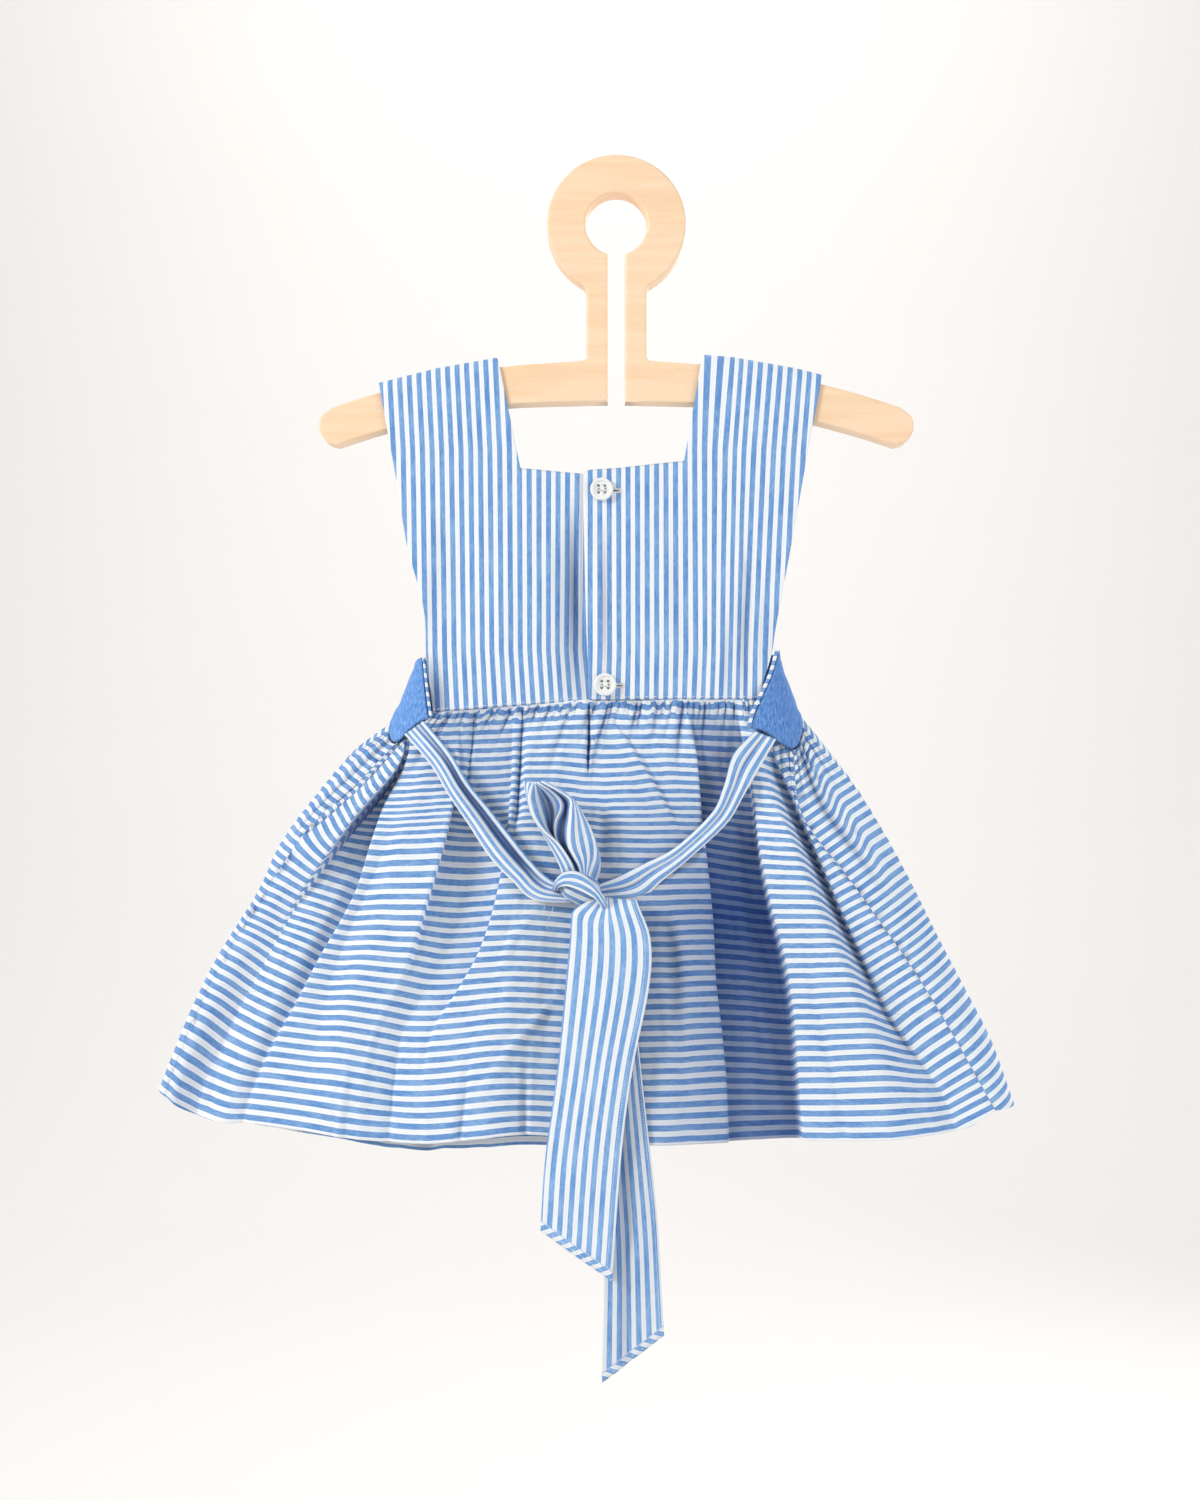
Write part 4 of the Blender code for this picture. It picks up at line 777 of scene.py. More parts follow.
wingShapes = {
    "left": {
        "back": (
            (0, -106.1, -11.5, -258.8), (0.3, -105, -13.6, -269.1), (0.6, -103.8, -15.4, -278.9),
            (0.8, -102.8, -16.3, -285.8), (1, -101.9, -17, -292)),
        "fold": ((0, -112, 0, -261.5), (0.5, -118.5, 0, -278), (1, -127.2, -0.5, -294.9)),
        "front": ((0, -104.6, 12, -258.5), (1, -101.5, 14, -289.6)), "cornerDrop": 12, "side": -1, "seed": 3,
        "bindingWidth": 1.6, "shade": 0, "crease": (0.55, 1.6, 0.6), "seamJump": 0},
    "right": {
        "back": (
            (0, 87.9, -13.5, -254.5), (0.3, 83.9, -15, -268), (0.6, 78.5, -16.6, -279.8),
            (0.8, 74.4, -17.8, -288.5), (1, 71.7, -18.5, -297.9)),
        "fold": ((0, 89.6, 0, -257.5), (0.5, 97, 0, -275), (1, 104.2, -1, -292.4)),
        "front": ((0, 86, 12, -255.5), (1, 78.2, 14, -282.6)), "cornerDrop": 14.5, "side": 1, "seed": 4,
        "bindingWidth": 2.1, "shade": 0.22, "crease": (0.62, 5.6, 1.6), "seamJump": 2.6},
}
wingFinish = {
    "corner": 0.3, "cornerSpread": 0.3, "columns": 70, "rows": 36, "half": 0.4, "ripple": 0.28,
    "rippleSize": 16, "seamDrop": 0.95, "bindingRoom": 0.35, "bindingSteps": 60, "bindingHalf": 0.55,
    # columns across the binding, how far its middle stands out, and the lean of its stripes
    "bindingParts": (0, 0.12, 0.3, 0.5, 0.7, 0.88, 1), "bindingPuff": 0.35, "bindingLean": 0.35,
}


def wingPoints(wing, around, down):
    # points of a wing's middle surface: around from the back edge (0) over the fold to the front (1)
    kind = wingFinish
    around, down = np.broadcast_arrays(np.asarray(around, float), np.asarray(down, float))
    back, fold, front = (through(wing[key], down) for key in ("back", "fold", "front"))
    back = back + np.stack([np.full_like(down, wing["side"] * (wing["bindingWidth"] + kind["bindingRoom"])),
                            np.zeros_like(down), -down], -1)
    turn = math.pi * around
    middle = (back + front) / 2
    x = mix(back[..., 0], front[..., 0], around) + (fold[..., 0] - middle[..., 0]) * np.sin(turn)
    y = middle[..., 1] - (front[..., 1] - back[..., 1]) / 2 * np.cos(turn)
    z = np.where(around < 0.5, mix(back[..., 2], fold[..., 2], around * 2),
                 mix(fold[..., 2], front[..., 2], around * 2 - 1))
    off = np.minimum(np.abs(around - kind["corner"]) / kind["cornerSpread"], 1.0)
    z = z - wing["cornerDrop"] * np.cos(off * math.pi / 2) ** 2 * down ** 3
    return np.stack([x, y, z], -1)


def measured(grid):
    # flat cloth of a grid from its real lengths, in mm: across the middle row, down the middle column
    across = np.linalg.norm(np.diff(grid, axis=1), axis=-1).mean(0)
    down = np.linalg.norm(np.diff(grid, axis=0), axis=-1).mean(1)
    u = np.concatenate([[0.0], np.cumsum(across)])
    v = np.concatenate([[0.0], np.cumsum(down)])
    return np.stack(np.meshgrid(u, v), -1)


def makeBinding(name, wing, finishes):
    kind = wingFinish
    edge = through(wing["back"], np.linspace(0.0, 1.0, kind["bindingSteps"] + 1))
    run = np.gradient(edge, axis=0)
    out = np.stack([-run[:, 2], np.zeros(len(run)), run[:, 0]], -1)
    out *= np.sign(out[:, :1]) * wing["side"] / np.linalg.norm(out, axis=1, keepdims=True)
    part = np.array(kind["bindingParts"])
    strip = edge[:, None] + out[:, None] * (part * wing["bindingWidth"])[None, :, None]
    strip[..., 1] -= (kind["bindingPuff"] * np.sin(math.pi * part))[None]
    length = np.concatenate([[0.0], np.cumsum(np.linalg.norm(np.diff(edge, axis=0), axis=1))])
    across, down = np.meshgrid(part * wing["bindingWidth"], length)
    flat = np.stack([down + across * kind["bindingLean"], across], -1)
    if wing["side"] < 0:
        strip, flat = strip[:, ::-1], flat[:, ::-1]
    binding = shell("binding" + name.capitalize(), strip, flat, kind["bindingHalf"], finishes["cotton"])
    carry(binding, "binding_" + name)
    return binding


def makeWings(finishes):
    kind = wingFinish
    around, down = (np.linspace(0.0, 1.0, kind[key]) for key in ("columns", "rows"))
    calm = (np.minimum(down, 1 - down)[:, None] * 4 * np.minimum(around, 1 - around)[None] * 6).clip(0, 1)
    for name, wing in wingShapes.items():
        grid = wingPoints(wing, around[None], down[:, None])
        flat = measured(grid)
        bulge = ripple(flat[..., 0], flat[..., 1], wing["seed"], kind["rippleSize"]) * kind["ripple"] * calm
        grid = grid + wallNormals(grid) * bulge[..., None]
        if wing["side"] < 0:
            grid, flat = grid[:, ::-1], flat[:, ::-1]
        # painted shade darkens a wing's chambray by its shade figure, the right wing's more
        piece = shell("wing" + name.capitalize(), grid, flat, kind["half"], finishes["chambray"],
                      shade=np.full(grid.shape[:2], wing["shade"]))
        binding = makeBinding(name, wing, finishes)
        declare(piece, "wing_" + name)
    print("wings made")


stitchLines = []  # each a line of points in mm that a row of stitches follows, with its kind
seamRows = {"waistUp": 1.5, "hemUp": 66.0, "overCloth": 0.08}


skirtShape = {
    "length": 237, "cutWidth": 500, "half": 0.4, "rim": 0.8, "columnShare": 1.85, "firstColumns": 12,
    # where one fold laps over the next: columns, and how far back; elsewhere folds keep the least gap
    "lapColumns": 3, "lapBack": 3, "leastGap": 0.8, "lineTries": 8, "softPasses": 8,
    "foldBend": (0.45, 0.55),  # straight and eased share of the rise between two folds
    "ripples": ((0.22, 12, 26), (0.6, 13, 11)),  # height, seed, size; the second's height is a share
    "leftPuckers": (61, 9),
    "rightPuckers": (62, 8),  # seed, reach in mm
    "backStations": 501, "frontStations": 330, "backSeed": 5, "frontSeed": 19, "sideSeamShift": -0.15,
    "waistShare": 0.1, "wingLap": 3, "lift": 0.35, "frontBelly": 4.5, "foldRise": 1.15, "tuckUp": 1.2,
    "tuckIn": 1, "backPhase": 0.67, "frontPhase": 0.12, "leftFold": 1, "innerFold": 4, "rightFold": 22,
    "scallop": (-1.3, 0.7), "scallopLong": 4.9,
    "seamLeft": (
        (0.13, -144.1, -12, -329.1), (0.25, -163, -12, -345.6), (0.37, -176, -11, -360),
        (0.48, -194, -10, -387), (0.65, -217, -9, -424), (0.8, -234, -8, -457), (1, -251.5, -8, -503)),
    "outlineLeft": (
        (0.12, -148.7, -1, -314.2), (0.27, -172, -1, -341), (0.39, -188.8, 0, -364.4),
        (0.51, -200.5, 0, -389.5), (0.68, -222.3, 0, -424.6), (0.82, -237.4, 0, -454.7),
        (1, -256, 0, -500.5)),
    "seamRight": (
        (0.16, 102.2, -17, -345.5), (0.36, 128.6, -20, -381.9), (0.67, 170, -19, -441.4),
        (1, 209.3, -17, -509.4)),
    "outlineRight": (
        (0.17, 130.3, -2, -327.5), (0.3, 147, -2, -352.6), (0.44, 163.8, -1, -382.8),
        (0.59, 180.5, -1, -416.3), (0.74, 197.3, 0, -448.1), (0.86, 210.6, 0, -474.8), (1, 222.4, 0, -508.3)),
    "hemBack": (
        (0.03, -238.8, -12, -510), (0.08, -217.5, -18, -516), (0.12, -201.5, -20.5, -515.8),
        (0.18, -169, -24, -519.4), (0.3, -113, -27, -526), (0.43, -53, -26, -521.5), (0.58, 16, -25, -526.5),
        (0.7, 71, -26, -524), (0.82, 127, -25, -524), (0.92, 174, -22.5, -522.3),
        (0.965, 193.5, -20, -519.3)),
    "hemFront": (
        (0.03, -244, 9, -507.5), (0.12, -198, 18, -523.6), (0.22, -152, 22, -534.4), (0.32, -103, 23, -537.8),
        (0.46, -36, 23, -536.7), (0.6, 31, 22, -533), (0.75, 102, 22, -530), (0.88, 165, 19, -523),
        (0.97, 210, 9, -512.5)),
}


def wingFoot(wing, around):
    # points just under a wing's lower edge, where the skirt is sewn to it
    lower = wingPoints(wing, around, np.ones_like(np.asarray(around, float)))
    return lower - (0.0, 0.0, wingFinish["seamDrop"])


def waistPoints(x, side):
    # the skirt starts just behind the bodice's lower edge, so no gap shows between them
    shape = skirtShape
    z = heightAt(bodiceShape["waist"], x) + shape["tuckUp"]
    return np.stack([x, np.full_like(x, side * (bodiceShape["waistDepth"] - shape["tuckIn"])), z], -1)


def backTop(share):
    lap, waist = skirtShape["wingLap"], bodiceShape["waist"]
    left, right = wingShapes["left"], wingShapes["right"]
    corner = wingFinish["corner"]
    ends = waistPoints(np.array([waist[0][0], waist[-1][0] - lap]), -1.0)
    w = skirtShape["waistShare"]
    points = np.zeros((len(share), 3))
    inward = np.array((0.0, lap, 0.0))
    low, high = share < w, share > 1 - w
    part = (share[low] / w)[:, None]
    points[low] = mix(wingFoot(left, corner), ends[0], part) + inward * np.sin(math.pi * part)
    part = ((share[high] - 1 + w) / w)[:, None]
    points[high] = mix(ends[1], wingFoot(right, corner), part) + inward * np.sin(math.pi * part)
    middle = ~low & ~high
    points[middle] = waistPoints(mix(ends[0][0], ends[1][0], (share[middle] - w) / (1 - 2 * w)), -1.0)
    return points


def frontTop(share):
    w = skirtShape["waistShare"]
    left, right = wingShapes["left"], wingShapes["right"]
    points = np.zeros((len(share), 3))
    low, high = share < w, share > 1 - w
    points[low] = wingFoot(left, mix(0.5, 1.0, share[low] / w))
    points[high] = wingFoot(right, mix(1.0, 0.5, (share[high] - 1 + w) / w))
    middle = ~low & ~high
    part = (share[middle] - w) / (1 - 2 * w)
    points[middle] = waistPoints(mix(left["front"][1][1], right["front"][1][1], part), 1.0)
    return points


def sideCurve(key, wing, around, down):
    rows = ((0.0, *wingFoot(wing, around)),) + skirtShape[key]
    return through(rows, down)


def frontView(path, depth=-22.0):
    # a path drawn over the hanging dress, in front view points, as x and z at a depth
    view = viewShape
    path = np.array(path, float)
    scale = view["point"] * (view["reach"] + depth - view["at"]) / view["reach"]
    path[:, 0] = view["middle"][0] + (path[:, 0] - view["centre"][0]) * scale
    path[:, 1] = view["middle"][1] - (path[:, 1] - view["centre"][1]) * scale
    return path


# long folds of the back skirt, left to right: front view point and rise; columns to the next one; painted
# shade in the fold near the top, midway and at the hem
backLines = (
    {"to": 9, "shade": (0, 0.14, 0.36), "path": (
        (386, 752, 0.8), (352, 800, 2.5), (318, 840, 3.5), (288, 884, 3), (262, 925, 2.5), (234, 972, 3),
        (208, 1020, 3.5), (184, 1070, 3.5), (172, 1100, 3))},
    {"to": 3, "shade": (0, 0.12, 0.28), "path": (
        (403, 757, 1.5), (391, 779, 5), (370, 802, 7), (350, 828, 7), (328, 856, 6), (307, 882, 4.2),
        (284, 920, 2.4), (256, 972, 1.4), (230, 1020, 0.6), (206, 1070, 0), (192, 1108, 0))},
    {"to": 7, "shade": (0.9, 0, 0), "path": (
        (404, 757, 0.4), (392, 780, -3.4), (371, 804, -6.5), (351, 830, -6), (329, 858, -4), (309, 884, 0.5),
        (287, 922, 1.2), (259, 974, 0.9), (233, 1022, 0.4), (209, 1072, 0), (196, 1108, -0.2))},
    {"to": 7, "shade": (0.6, 0, 0), "path": (
        (406, 756, -0.6), (395, 780, -4), (378, 806, -7.5), (365, 832, -7.5), (350, 860, -6.5),
        (338, 884, -4.6), (316, 925, -2), (290, 972, -1), (266, 1015, -0.6), (238, 1066, 0.2),
        (220, 1112, 0.6))},
    {"to": 3, "shade": (0.9, 0.22, 0.1), "path": (
        (408, 755, -0.8), (397, 780, -4.6), (382, 806, -8), (374, 832, -8), (364, 862, -8), (357, 890, -8),
        (338, 926, -7.5), (313, 965, -6.8), (295, 1001, -5.6), (266, 1052, -3.6), (242, 1116, -1.8))},
    {"to": 9, "path": (
        (410, 754, 0.5), (399, 779, 1.2), (384, 805, 1.8), (376, 831, 2.6), (366, 861, 3.2), (359, 889, 3.2),
        (340, 925, 2.4), (316, 964, 1.4), (299, 1000, 0.6), (271, 1051, 0.4), (247, 1116, 0.4))},
    {"to": 8, "path": (
        (422, 752, 0.6), (405, 800, 1.6), (385, 850, 1.8), (362, 905, 0.8), (346, 940, -0.6),
        (328, 990, -1.4), (316, 1040, -0.6), (306, 1090, 0.6), (300, 1122, 1.2))},
    {"to": 18, "shade": (0.18, 0, 0), "path": (
        (432, 745, 0.6), (421, 800, 3), (404, 850, 4), (390, 900, 4.6), (376, 944, 4.6), (354, 990, 4.4),
        (340, 1040, 4.2), (334, 1090, 4), (330, 1128, 3.8))},
    {"to": 3, "shade": (0.16, 0, 0), "path": (
        (458, 728, 0.4), (457, 775, 2.2), (452, 815, 5.2), (446, 845, 6.4), (437, 875, 6.8), (426, 910, 6.4),
        (416, 944, 4.4), (400, 985, 2.4), (374, 1030, 2.4), (364, 1080, 2.4), (360, 1134, 2.4))},
    {"to": 12, "shade": (0.3, 0.14, 0), "path": (
        (459, 728, -0.2), (458, 776, -0.5), (450, 816, -4.2), (443, 846, -5.4), (434, 876, -5.4),
        (424, 911, -4.6), (419, 946, 1), (404, 986, 1.2), (379, 1030, 0.8), (372, 1080, 0.6),
        (369, 1135, 0.6))},
    {"to": 9, "shade": (0.2, 0, 0), "path": (
        (486, 722, -0.4), (480, 776, -2), (477, 820, -5.4), (472, 866, -6.6), (462, 910, -6.6),
        (446, 950, -5.6), (424, 988, -4.2), (402, 1030, -3.6), (394, 1080, -3.2), (392, 1138, -2.8))},
    {"to": 3, "shade": (0.25, 0, 0), "path": (
        (512, 718, -0.2), (511, 776, -1.4), (508, 830, -3.4), (505, 876, -5), (496, 925, -5.4),
        (482, 960, -5.2), (458, 990, -4), (432, 1024, -2), (420, 1080, -1.2), (420, 1140, -1))},
    {"to": 20, "path": (
        (514, 718, 0.4), (513, 776, 0.6), (508, 830, 1.2), (502, 876, 3), (491, 925, 4.2), (478, 960, 4),
        (458, 992, 2.4), (436, 1026, 0.6), (426, 1080, 0.2), (426, 1141, 0.2))},
    {"to": 18, "path": (
        (548, 712, 0.8), (546, 790, 2.2), (540, 860, 2.4), (528, 920, 2.4), (512, 975, 2.4), (496, 1030, 3.6),
        (486, 1080, 2.8), (482, 1139, 2.2))},
    {"to": 16, "path": (
        (589, 706, -1.5), (586, 780, -1.4), (578, 850, 0.2), (566, 930, 0.6), (552, 1000, 0.2),
        (540, 1070, -2.2), (534, 1137, -2.4))},
    {"to": 22, "shade": (0.05, 0.4, 0.2), "path": (
        (632, 704, 0.6), (636, 780, 2.6), (640, 850, 3.4), (644, 930, 3.6), (646, 1000, 3.6),
        (648, 1070, 3.6), (650, 1142, 3.4))},
    {"to": 3, "shade": (0, 0.75, 0.5), "path": (
        (686, 704, 0.8), (697, 764, 3.4), (701, 823, 5.4), (707, 875, 6.4), (712, 925, 6.8), (714, 984, 6.4),
        (720, 1028, 5.6), (724, 1072, 5), (727, 1139, 4.4))},
    {"to": 20, "shade": (0.6, 1, 0.75), "path": (
        (688, 704, 0), (698, 764, -0.2), (699, 823, 0), (705, 875, 0.2), (710, 925, 0.2), (713, 984, 0.2),
        (720, 1028, 0.4), (725, 1072, 0.6), (728, 1139, 0.8))},
    {"to": 3, "shade": (0.6, 1, 0.75), "path": (
        (738, 712, -0.8), (752, 787, -5), (759, 852, -8), (770, 911, -8.6), (782, 955, -8.6), (791, 1013, -8),
        (795, 1072, -7), (800, 1138, -6))},
    {"to": 14, "path": (
        (739, 712, 0.2), (752, 787, 1.6), (760, 852, 2.6), (772, 911, 3.4), (785, 955, 3.8), (794, 1013, 3.6),
        (798, 1072, 3), (803, 1138, 2.6))},
    {"to": 18, "path": (
        (752, 738, 0.4), (774, 800, 3.4), (794, 860, 5.2), (813, 911, 6.2), (835, 960, 6.6), (856, 1013, 6.6),
        (874, 1072, 6.2), (890, 1136, 5.4))},
    {"to": 3, "shade": (0.5, 0.5, 0.1), "path": (
        (772, 752, -1), (790, 790, -6), (812, 840, -8.5), (838, 902, -9), (866, 962, -8.6), (890, 1015, -7.6),
        (923, 1064, -6.2), (945, 1098, -5.2), (956, 1130, -4.8))},
    {"to": 12, "path": (
        (774, 751, 0), (791, 788, 0.6), (812, 838, 1), (838, 900, 0.2), (867, 961, -2.4), (892, 1014, -4.4),
        (926, 1063, -4.8), (948, 1097, -4.4), (959, 1130, -4.2))},
)
# shorter folds and tucks: front view point, rise, width to the left and to the right in mm
backMarks = (
    (
        (589, 706, -2.6, 1.6, 1.6), (589, 742, -4, 2.3, 2), (588, 760, -3.4, 2.4, 2),
        (588, 776, -0.4, 1.6, 1.4)),
    ((595, 706, 1.6, 1, 6), (597, 740, 2.2, 1, 7), (592, 776, 0.3, 1, 5)),
    (
        (522, 712, -2, 1.9, 2.2), (520, 760, -2.5, 2.8, 3.4), (517, 812, -2.5, 2.8, 4),
        (511, 852, -0.4, 2.2, 3)),
    ((528, 716, 0.8, 1, 6), (526, 770, 1.6, 1.2, 9), (522, 830, 0.2, 1.4, 9)),
    (
        (473, 716, -1.9, 1.9, 2.6), (471, 746, -2.3, 2.4, 3.2), (467, 776, -1.6, 1.9, 2.2),
        (463, 800, -0.3, 1.4, 1.4)),
    ((476, 716, -1.6, 1, 1), (476, 742, -0.6, 1, 1)),
    (
        (612, 722, 1.4, 4, 1.2), (626, 742, 2.6, 7, 1.2), (648, 779, 2.8, 10, 1.6), (669, 817, 1.8, 10, 2),
        (678, 840, 0.2, 8, 3)),
    ((636, 712, 0.9, 3, 5), (655, 740, 1.8, 4, 9), (672, 790, 0.3, 4, 9)),
    ((560, 992, 0.6, 3, 3), (537, 1019, 2, 3, 3.4), (519, 1037, 1.8, 3, 3.6), (480, 1094, 0.2, 3, 4)),
    ((540, 905, 0.4, 3, 4), (510, 944, 1.2, 4, 5), (498, 985, 0.2, 4, 5)),
    ((470, 1050, -0.3, 4, 4), (466, 1090, -1.7, 5, 4), (460, 1136, -2, 5, 4)),
    ((526, 1050, -0.2, 4, 4), (525, 1095, -1.4, 4, 4), (525, 1134, -1.6, 4, 4)),
    ((606, 780, -0.4, 5, 5), (602, 830, -1.4, 6, 6), (600, 880, -0.4, 5, 5)),
    ((664, 880, -0.2, 6, 5), (672, 960, -1.8, 9, 7), (682, 1060, -1.8, 9, 8), (688, 1138, -1.2, 8, 8)),
    ((735, 830, 0.2, 5, 5), (742, 930, 0.9, 6, 6), (752, 1060, 0.9, 7, 7), (760, 1136, 0.5, 7, 7)),
    ((806, 930, -0.2, 4, 4), (812, 1000, -1.2, 5, 5), (826, 1060, -1.5, 6, 6), (842, 1134, -1.4, 6, 6)),
    ((910, 1040, 0.3, 5, 5), (925, 1085, 1.2, 6, 6), (935, 1130, 1.3, 6, 6)),
    ((240, 1000, -0.3, 4, 4), (222, 1050, -1.2, 5, 5), (206, 1108, -1.4, 5, 5)),
    ((300, 920, 0.2, 3, 3), (280, 960, 0.9, 4, 3), (262, 1000, 0.2, 4, 3)),
    ((400, 1030, -0.4, 3, 4), (392, 1080, -1.3, 4, 4), (388, 1138, -1.2, 4, 4)),
    ((350, 1050, 0.3, 3, 4), (345, 1090, 1, 4, 4), (340, 1132, 1.1, 4, 4)),
)
frontFolds = (
    # place at waist and hem, width each side, rise, and the share down at which it starts
    (0.14, 0.1, 0.05, 0.05, -7, 0.1), (0.22, 0.2, 0.05, 0.06, 6, 0.05), (0.33, 0.31, 0.05, 0.022, -7, 0.06),
    (0.43, 0.42, 0.06, 0.06, 6, 0.1), (0.52, 0.53, 0.022, 0.05, -6, 0.02), (0.62, 0.63, 0.05, 0.05, 6, 0.08),
    (0.72, 0.74, 0.05, 0.022, -7, 0.05), (0.82, 0.84, 0.06, 0.05, 6, 0.1), (0.88, 0.92, 0.03, 0.035, -5, 0.1),
    (0.27, 0.265, 0.016, 0.02, -2.2, 0.2), (0.385, 0.37, 0.018, 0.014, 1.8, 0.25),
    (0.575, 0.59, 0.016, 0.016, -1.8, 0.15), (0.67, 0.68, 0.014, 0.018, 1.8, 0.3),
    (0.78, 0.79, 0.018, 0.016, -2, 0.3),
)


def markRise(marks, x, z, fade=4.0):
    # rise of short folds at places on the skirt
    total = np.zeros_like(x)
    for mark in marks:
        path = frontView(mark)[::-1]
        height = path[:, 1]
        centre, rise, left, right = (np.interp(z, height, path[:, k]) for k in (0, 2, 3, 4))
        slope = np.interp(z, height, np.gradient(path[:, 0], height))
        away = (x - centre) / np.sqrt(1.0 + slope ** 2)
        near = np.where(away < 0, -away / left, away / right).clip(0, 1)
        ends = ease((z - height[0] + fade) / fade) * ease((height[-1] + fade - z) / fade)
        total += rise * ends * np.cos(near * math.pi / 2) ** 2
    return total


gathers = {
    # how many pinches, reach to each side as a share of the width, length as a share of the skirt, depth
    "pinches": (
        (84, 0.0034, 0.0058, 0.02, 0.06, 2.3), (30, 0.0058, 0.0104, 0.06, 0.15, 2.3),
        (10, 0.0094, 0.015, 0.15, 0.33, 2.1)),
    "sidePinches": (21, 0.0022, 0.0036, 0.045, 0.15, 2.2), "pinchLift": 0.3, "pinchShade": 1, "puff": 2.2,
    "puffLong": 0.16, "from": 0.005, "full": 0.01, "drift": 0.01, "jog": 1.7, "jogLong": (0.025, 0.085),
    # soft painted shade under the waist seam: first and last place, where down it starts to fade, over what,
    # how dark
    "waistShade": (0.1, 0.36, 0.05, 0.12, 0.34),
}


def gatherMarks(seed):
    # pinches along the waist: place, reach left and right, length, rise, drift
    kind = gathers
    dice = np.random.RandomState(seed)
    w = skirtShape["waistShare"]
    marks = []
    spans = [(w, 1 - w, pinch) for pinch in kind["pinches"]]
    spans += [(0.010, w - 0.004, kind["sidePinches"]), (1 - w + 0.004, 0.990, kind["sidePinches"])]
    for first, last, (count, thin, broad, short, long, deep) in spans:
        spots = np.cumsum(dice.uniform(0.35, 1.65, count))
        for spot in first + (last - first) * (spots - spots[0] * 0.5) / spots[-1]:
            left, right = dice.uniform(thin, broad), dice.uniform(thin, broad)
            length, rise = dice.uniform(short, long), -deep * dice.uniform(0.5, 1.25)
            marks.append((spot, left, right, length, rise, dice.uniform(-kind["drift"], kind["drift"])))
    return marks


def gatherRise(share, down, seed):
    # uneven gathers that hang from the waist seam, close and deep puckers beside the wings, and the painted
    # shade in the pinches
    kind = gathers
    total = np.zeros_like(share)
    for spot, left, right, length, rise, drift in gatherMarks(seed):
        away = share - spot - drift * down / length
        spread = 1.0 + 1.3 * down / length
        near = np.where(away < 0, -away / (left * spread), away / (right * spread)).clip(0, 1)
        total = np.minimum(total, rise * (1.0 - ease(down / length)) * (1.0 - near) ** 1.6)
    puff = kind["puff"] * (1.0 - ease(down / kind["puffLong"]))
    start = ease((down - kind["from"]) / kind["full"])
    return (total + puff) * start, kind["pinchShade"] * ease(-total / kind["pinches"][0][-1]) * start


def gatherJogs(share, down, seed):
    # between pinches the stripes sit a little higher or lower near the seam
    kind = gathers
    spots = np.sort([mark[0] for mark in gatherMarks(seed)])
    dice = np.random.RandomState(seed + 200)
    jogs = dice.uniform(-kind["jog"], kind["jog"], len(spots) + 1)
    longs = dice.uniform(*kind["jogLong"], len(spots) + 1)
    index = np.searchsorted(spots, share)
    return jogs[index] * (1.0 - ease(down / longs[index]))


def besideLine(points, lead, values):
    # stripe places over cloth whose columns run down beside a leading column that has known ones:
    # stripes stay their own width apart and leave the leading column squarely
    seen = points[..., ::2]
    length = np.zeros(points.shape[:2])
    length[1:] = np.cumsum(np.linalg.norm(np.diff(seen, axis=0), axis=-1), axis=0)
    run = np.gradient(softened(seen[:, lead], 60, 0), axis=0)
    run /= np.linalg.norm(run, axis=1, keepdims=True)
    ahead = ((seen - seen[:, lead][:, None]) * run[:, None]).sum(-1)
    offset = np.median((values[:, None] + ahead - length)[-40:-8], axis=0)
    own = (values - length[:, lead] - offset[lead]) * ease((length[:, lead] / length[-1, lead] - 0.40) / 0.20)
    return length + offset + own[:, None]


# spans of folds whose stripes follow a leading fold's: first, last, leading, slope, and where down that fades
levelSpans = ((2, 9, 9, 0.04, 0.12, 0.80), (18, 22, 18, -0.16, 0.12, 0.60))
flapShape = {
    # how much steeper the stripes run than square, and where down the flap that fades
    "steeper": 0.32, "steepUntil": (0.3, 0.2),
    # a wrinkle beside the seam: share down, distance from the seam; its jump, rise, half width, painted
    # shade, end
    "wrinkle": ((0, 6), (0.06, 9.3), (0.2, 11.2), (0.29, 6), (0.35, 1.2)), "jump": 2, "rise": -1.3,
    "wide": 1.3, "dark": 0.55, "wrinkleUntil": (0.3, 0.06),
    # the fold's wall gets painted shade near the wing
    "wallDark": 0.9, "wallUntil": (0.34, 0.16),
    # below the flap the stripes turn square to the inner fold: from, over, how much; then eased near the hem
    "squareFrom": (0.24, 0.4, 0.7), "squareUntil": (0.76, 0.24, 0.8),
}


def flapWrinkle(deep, fromSeam):
    # rise, jump of the stripes and painted shade beside the left seam
    kind = flapShape
    away = fromSeam - heightAt(kind["wrinkle"], deep)
    live = 1.0 - ease((deep - kind["wrinkleUntil"][0]) / kind["wrinkleUntil"][1])
    line = live * np.exp(-(away / kind["wide"]) ** 2)
    return kind["rise"] * line, kind["jump"] * live * (1.0 - ease((away + 0.5) / 1.0)), kind["dark"] * line


def foldColumn(steps, line):
    # the column at which a fold's line runs
    return sum(steps[:line + 1])


def levelled(along, x, z, deep, span, steps):
    # stripe places near the waist taken from a leading column at the same height
    first, last, lead, slope, fade, fadeLong = span
    first, last, lead = (foldColumn(steps, line) for line in (first, last, lead))
    made = along.copy()
    for column in range(first, last + 1):
        height = z[:, column] - slope * (x[:, column] - x[:, lead])
        level = np.interp(-height, -z[:, lead], along[:, lead])
        above = height > z[0, lead]
        level[above] = along[0, lead] - (height[above] - z[0, lead])
        share = 1.0 - ease((deep[:, column] - fade) / fadeLong)
        made[:, column] = mix(along[:, column], level, share)
    return made


puckerShape = {
    # first and last place down the seam, pitch, how far each may shift
    "from": 0.015, "until": 0.99, "pitch": 0.0215, "shift": 0.006, "size": (0.004, 0.0075),
    "reach": (0.45, 1.3), "lean": (-0.0006, 0.0012), "rise": (0.7, 1.6), "lowerReach": 0.55,
    "fade": (1.3, 0.6),
}


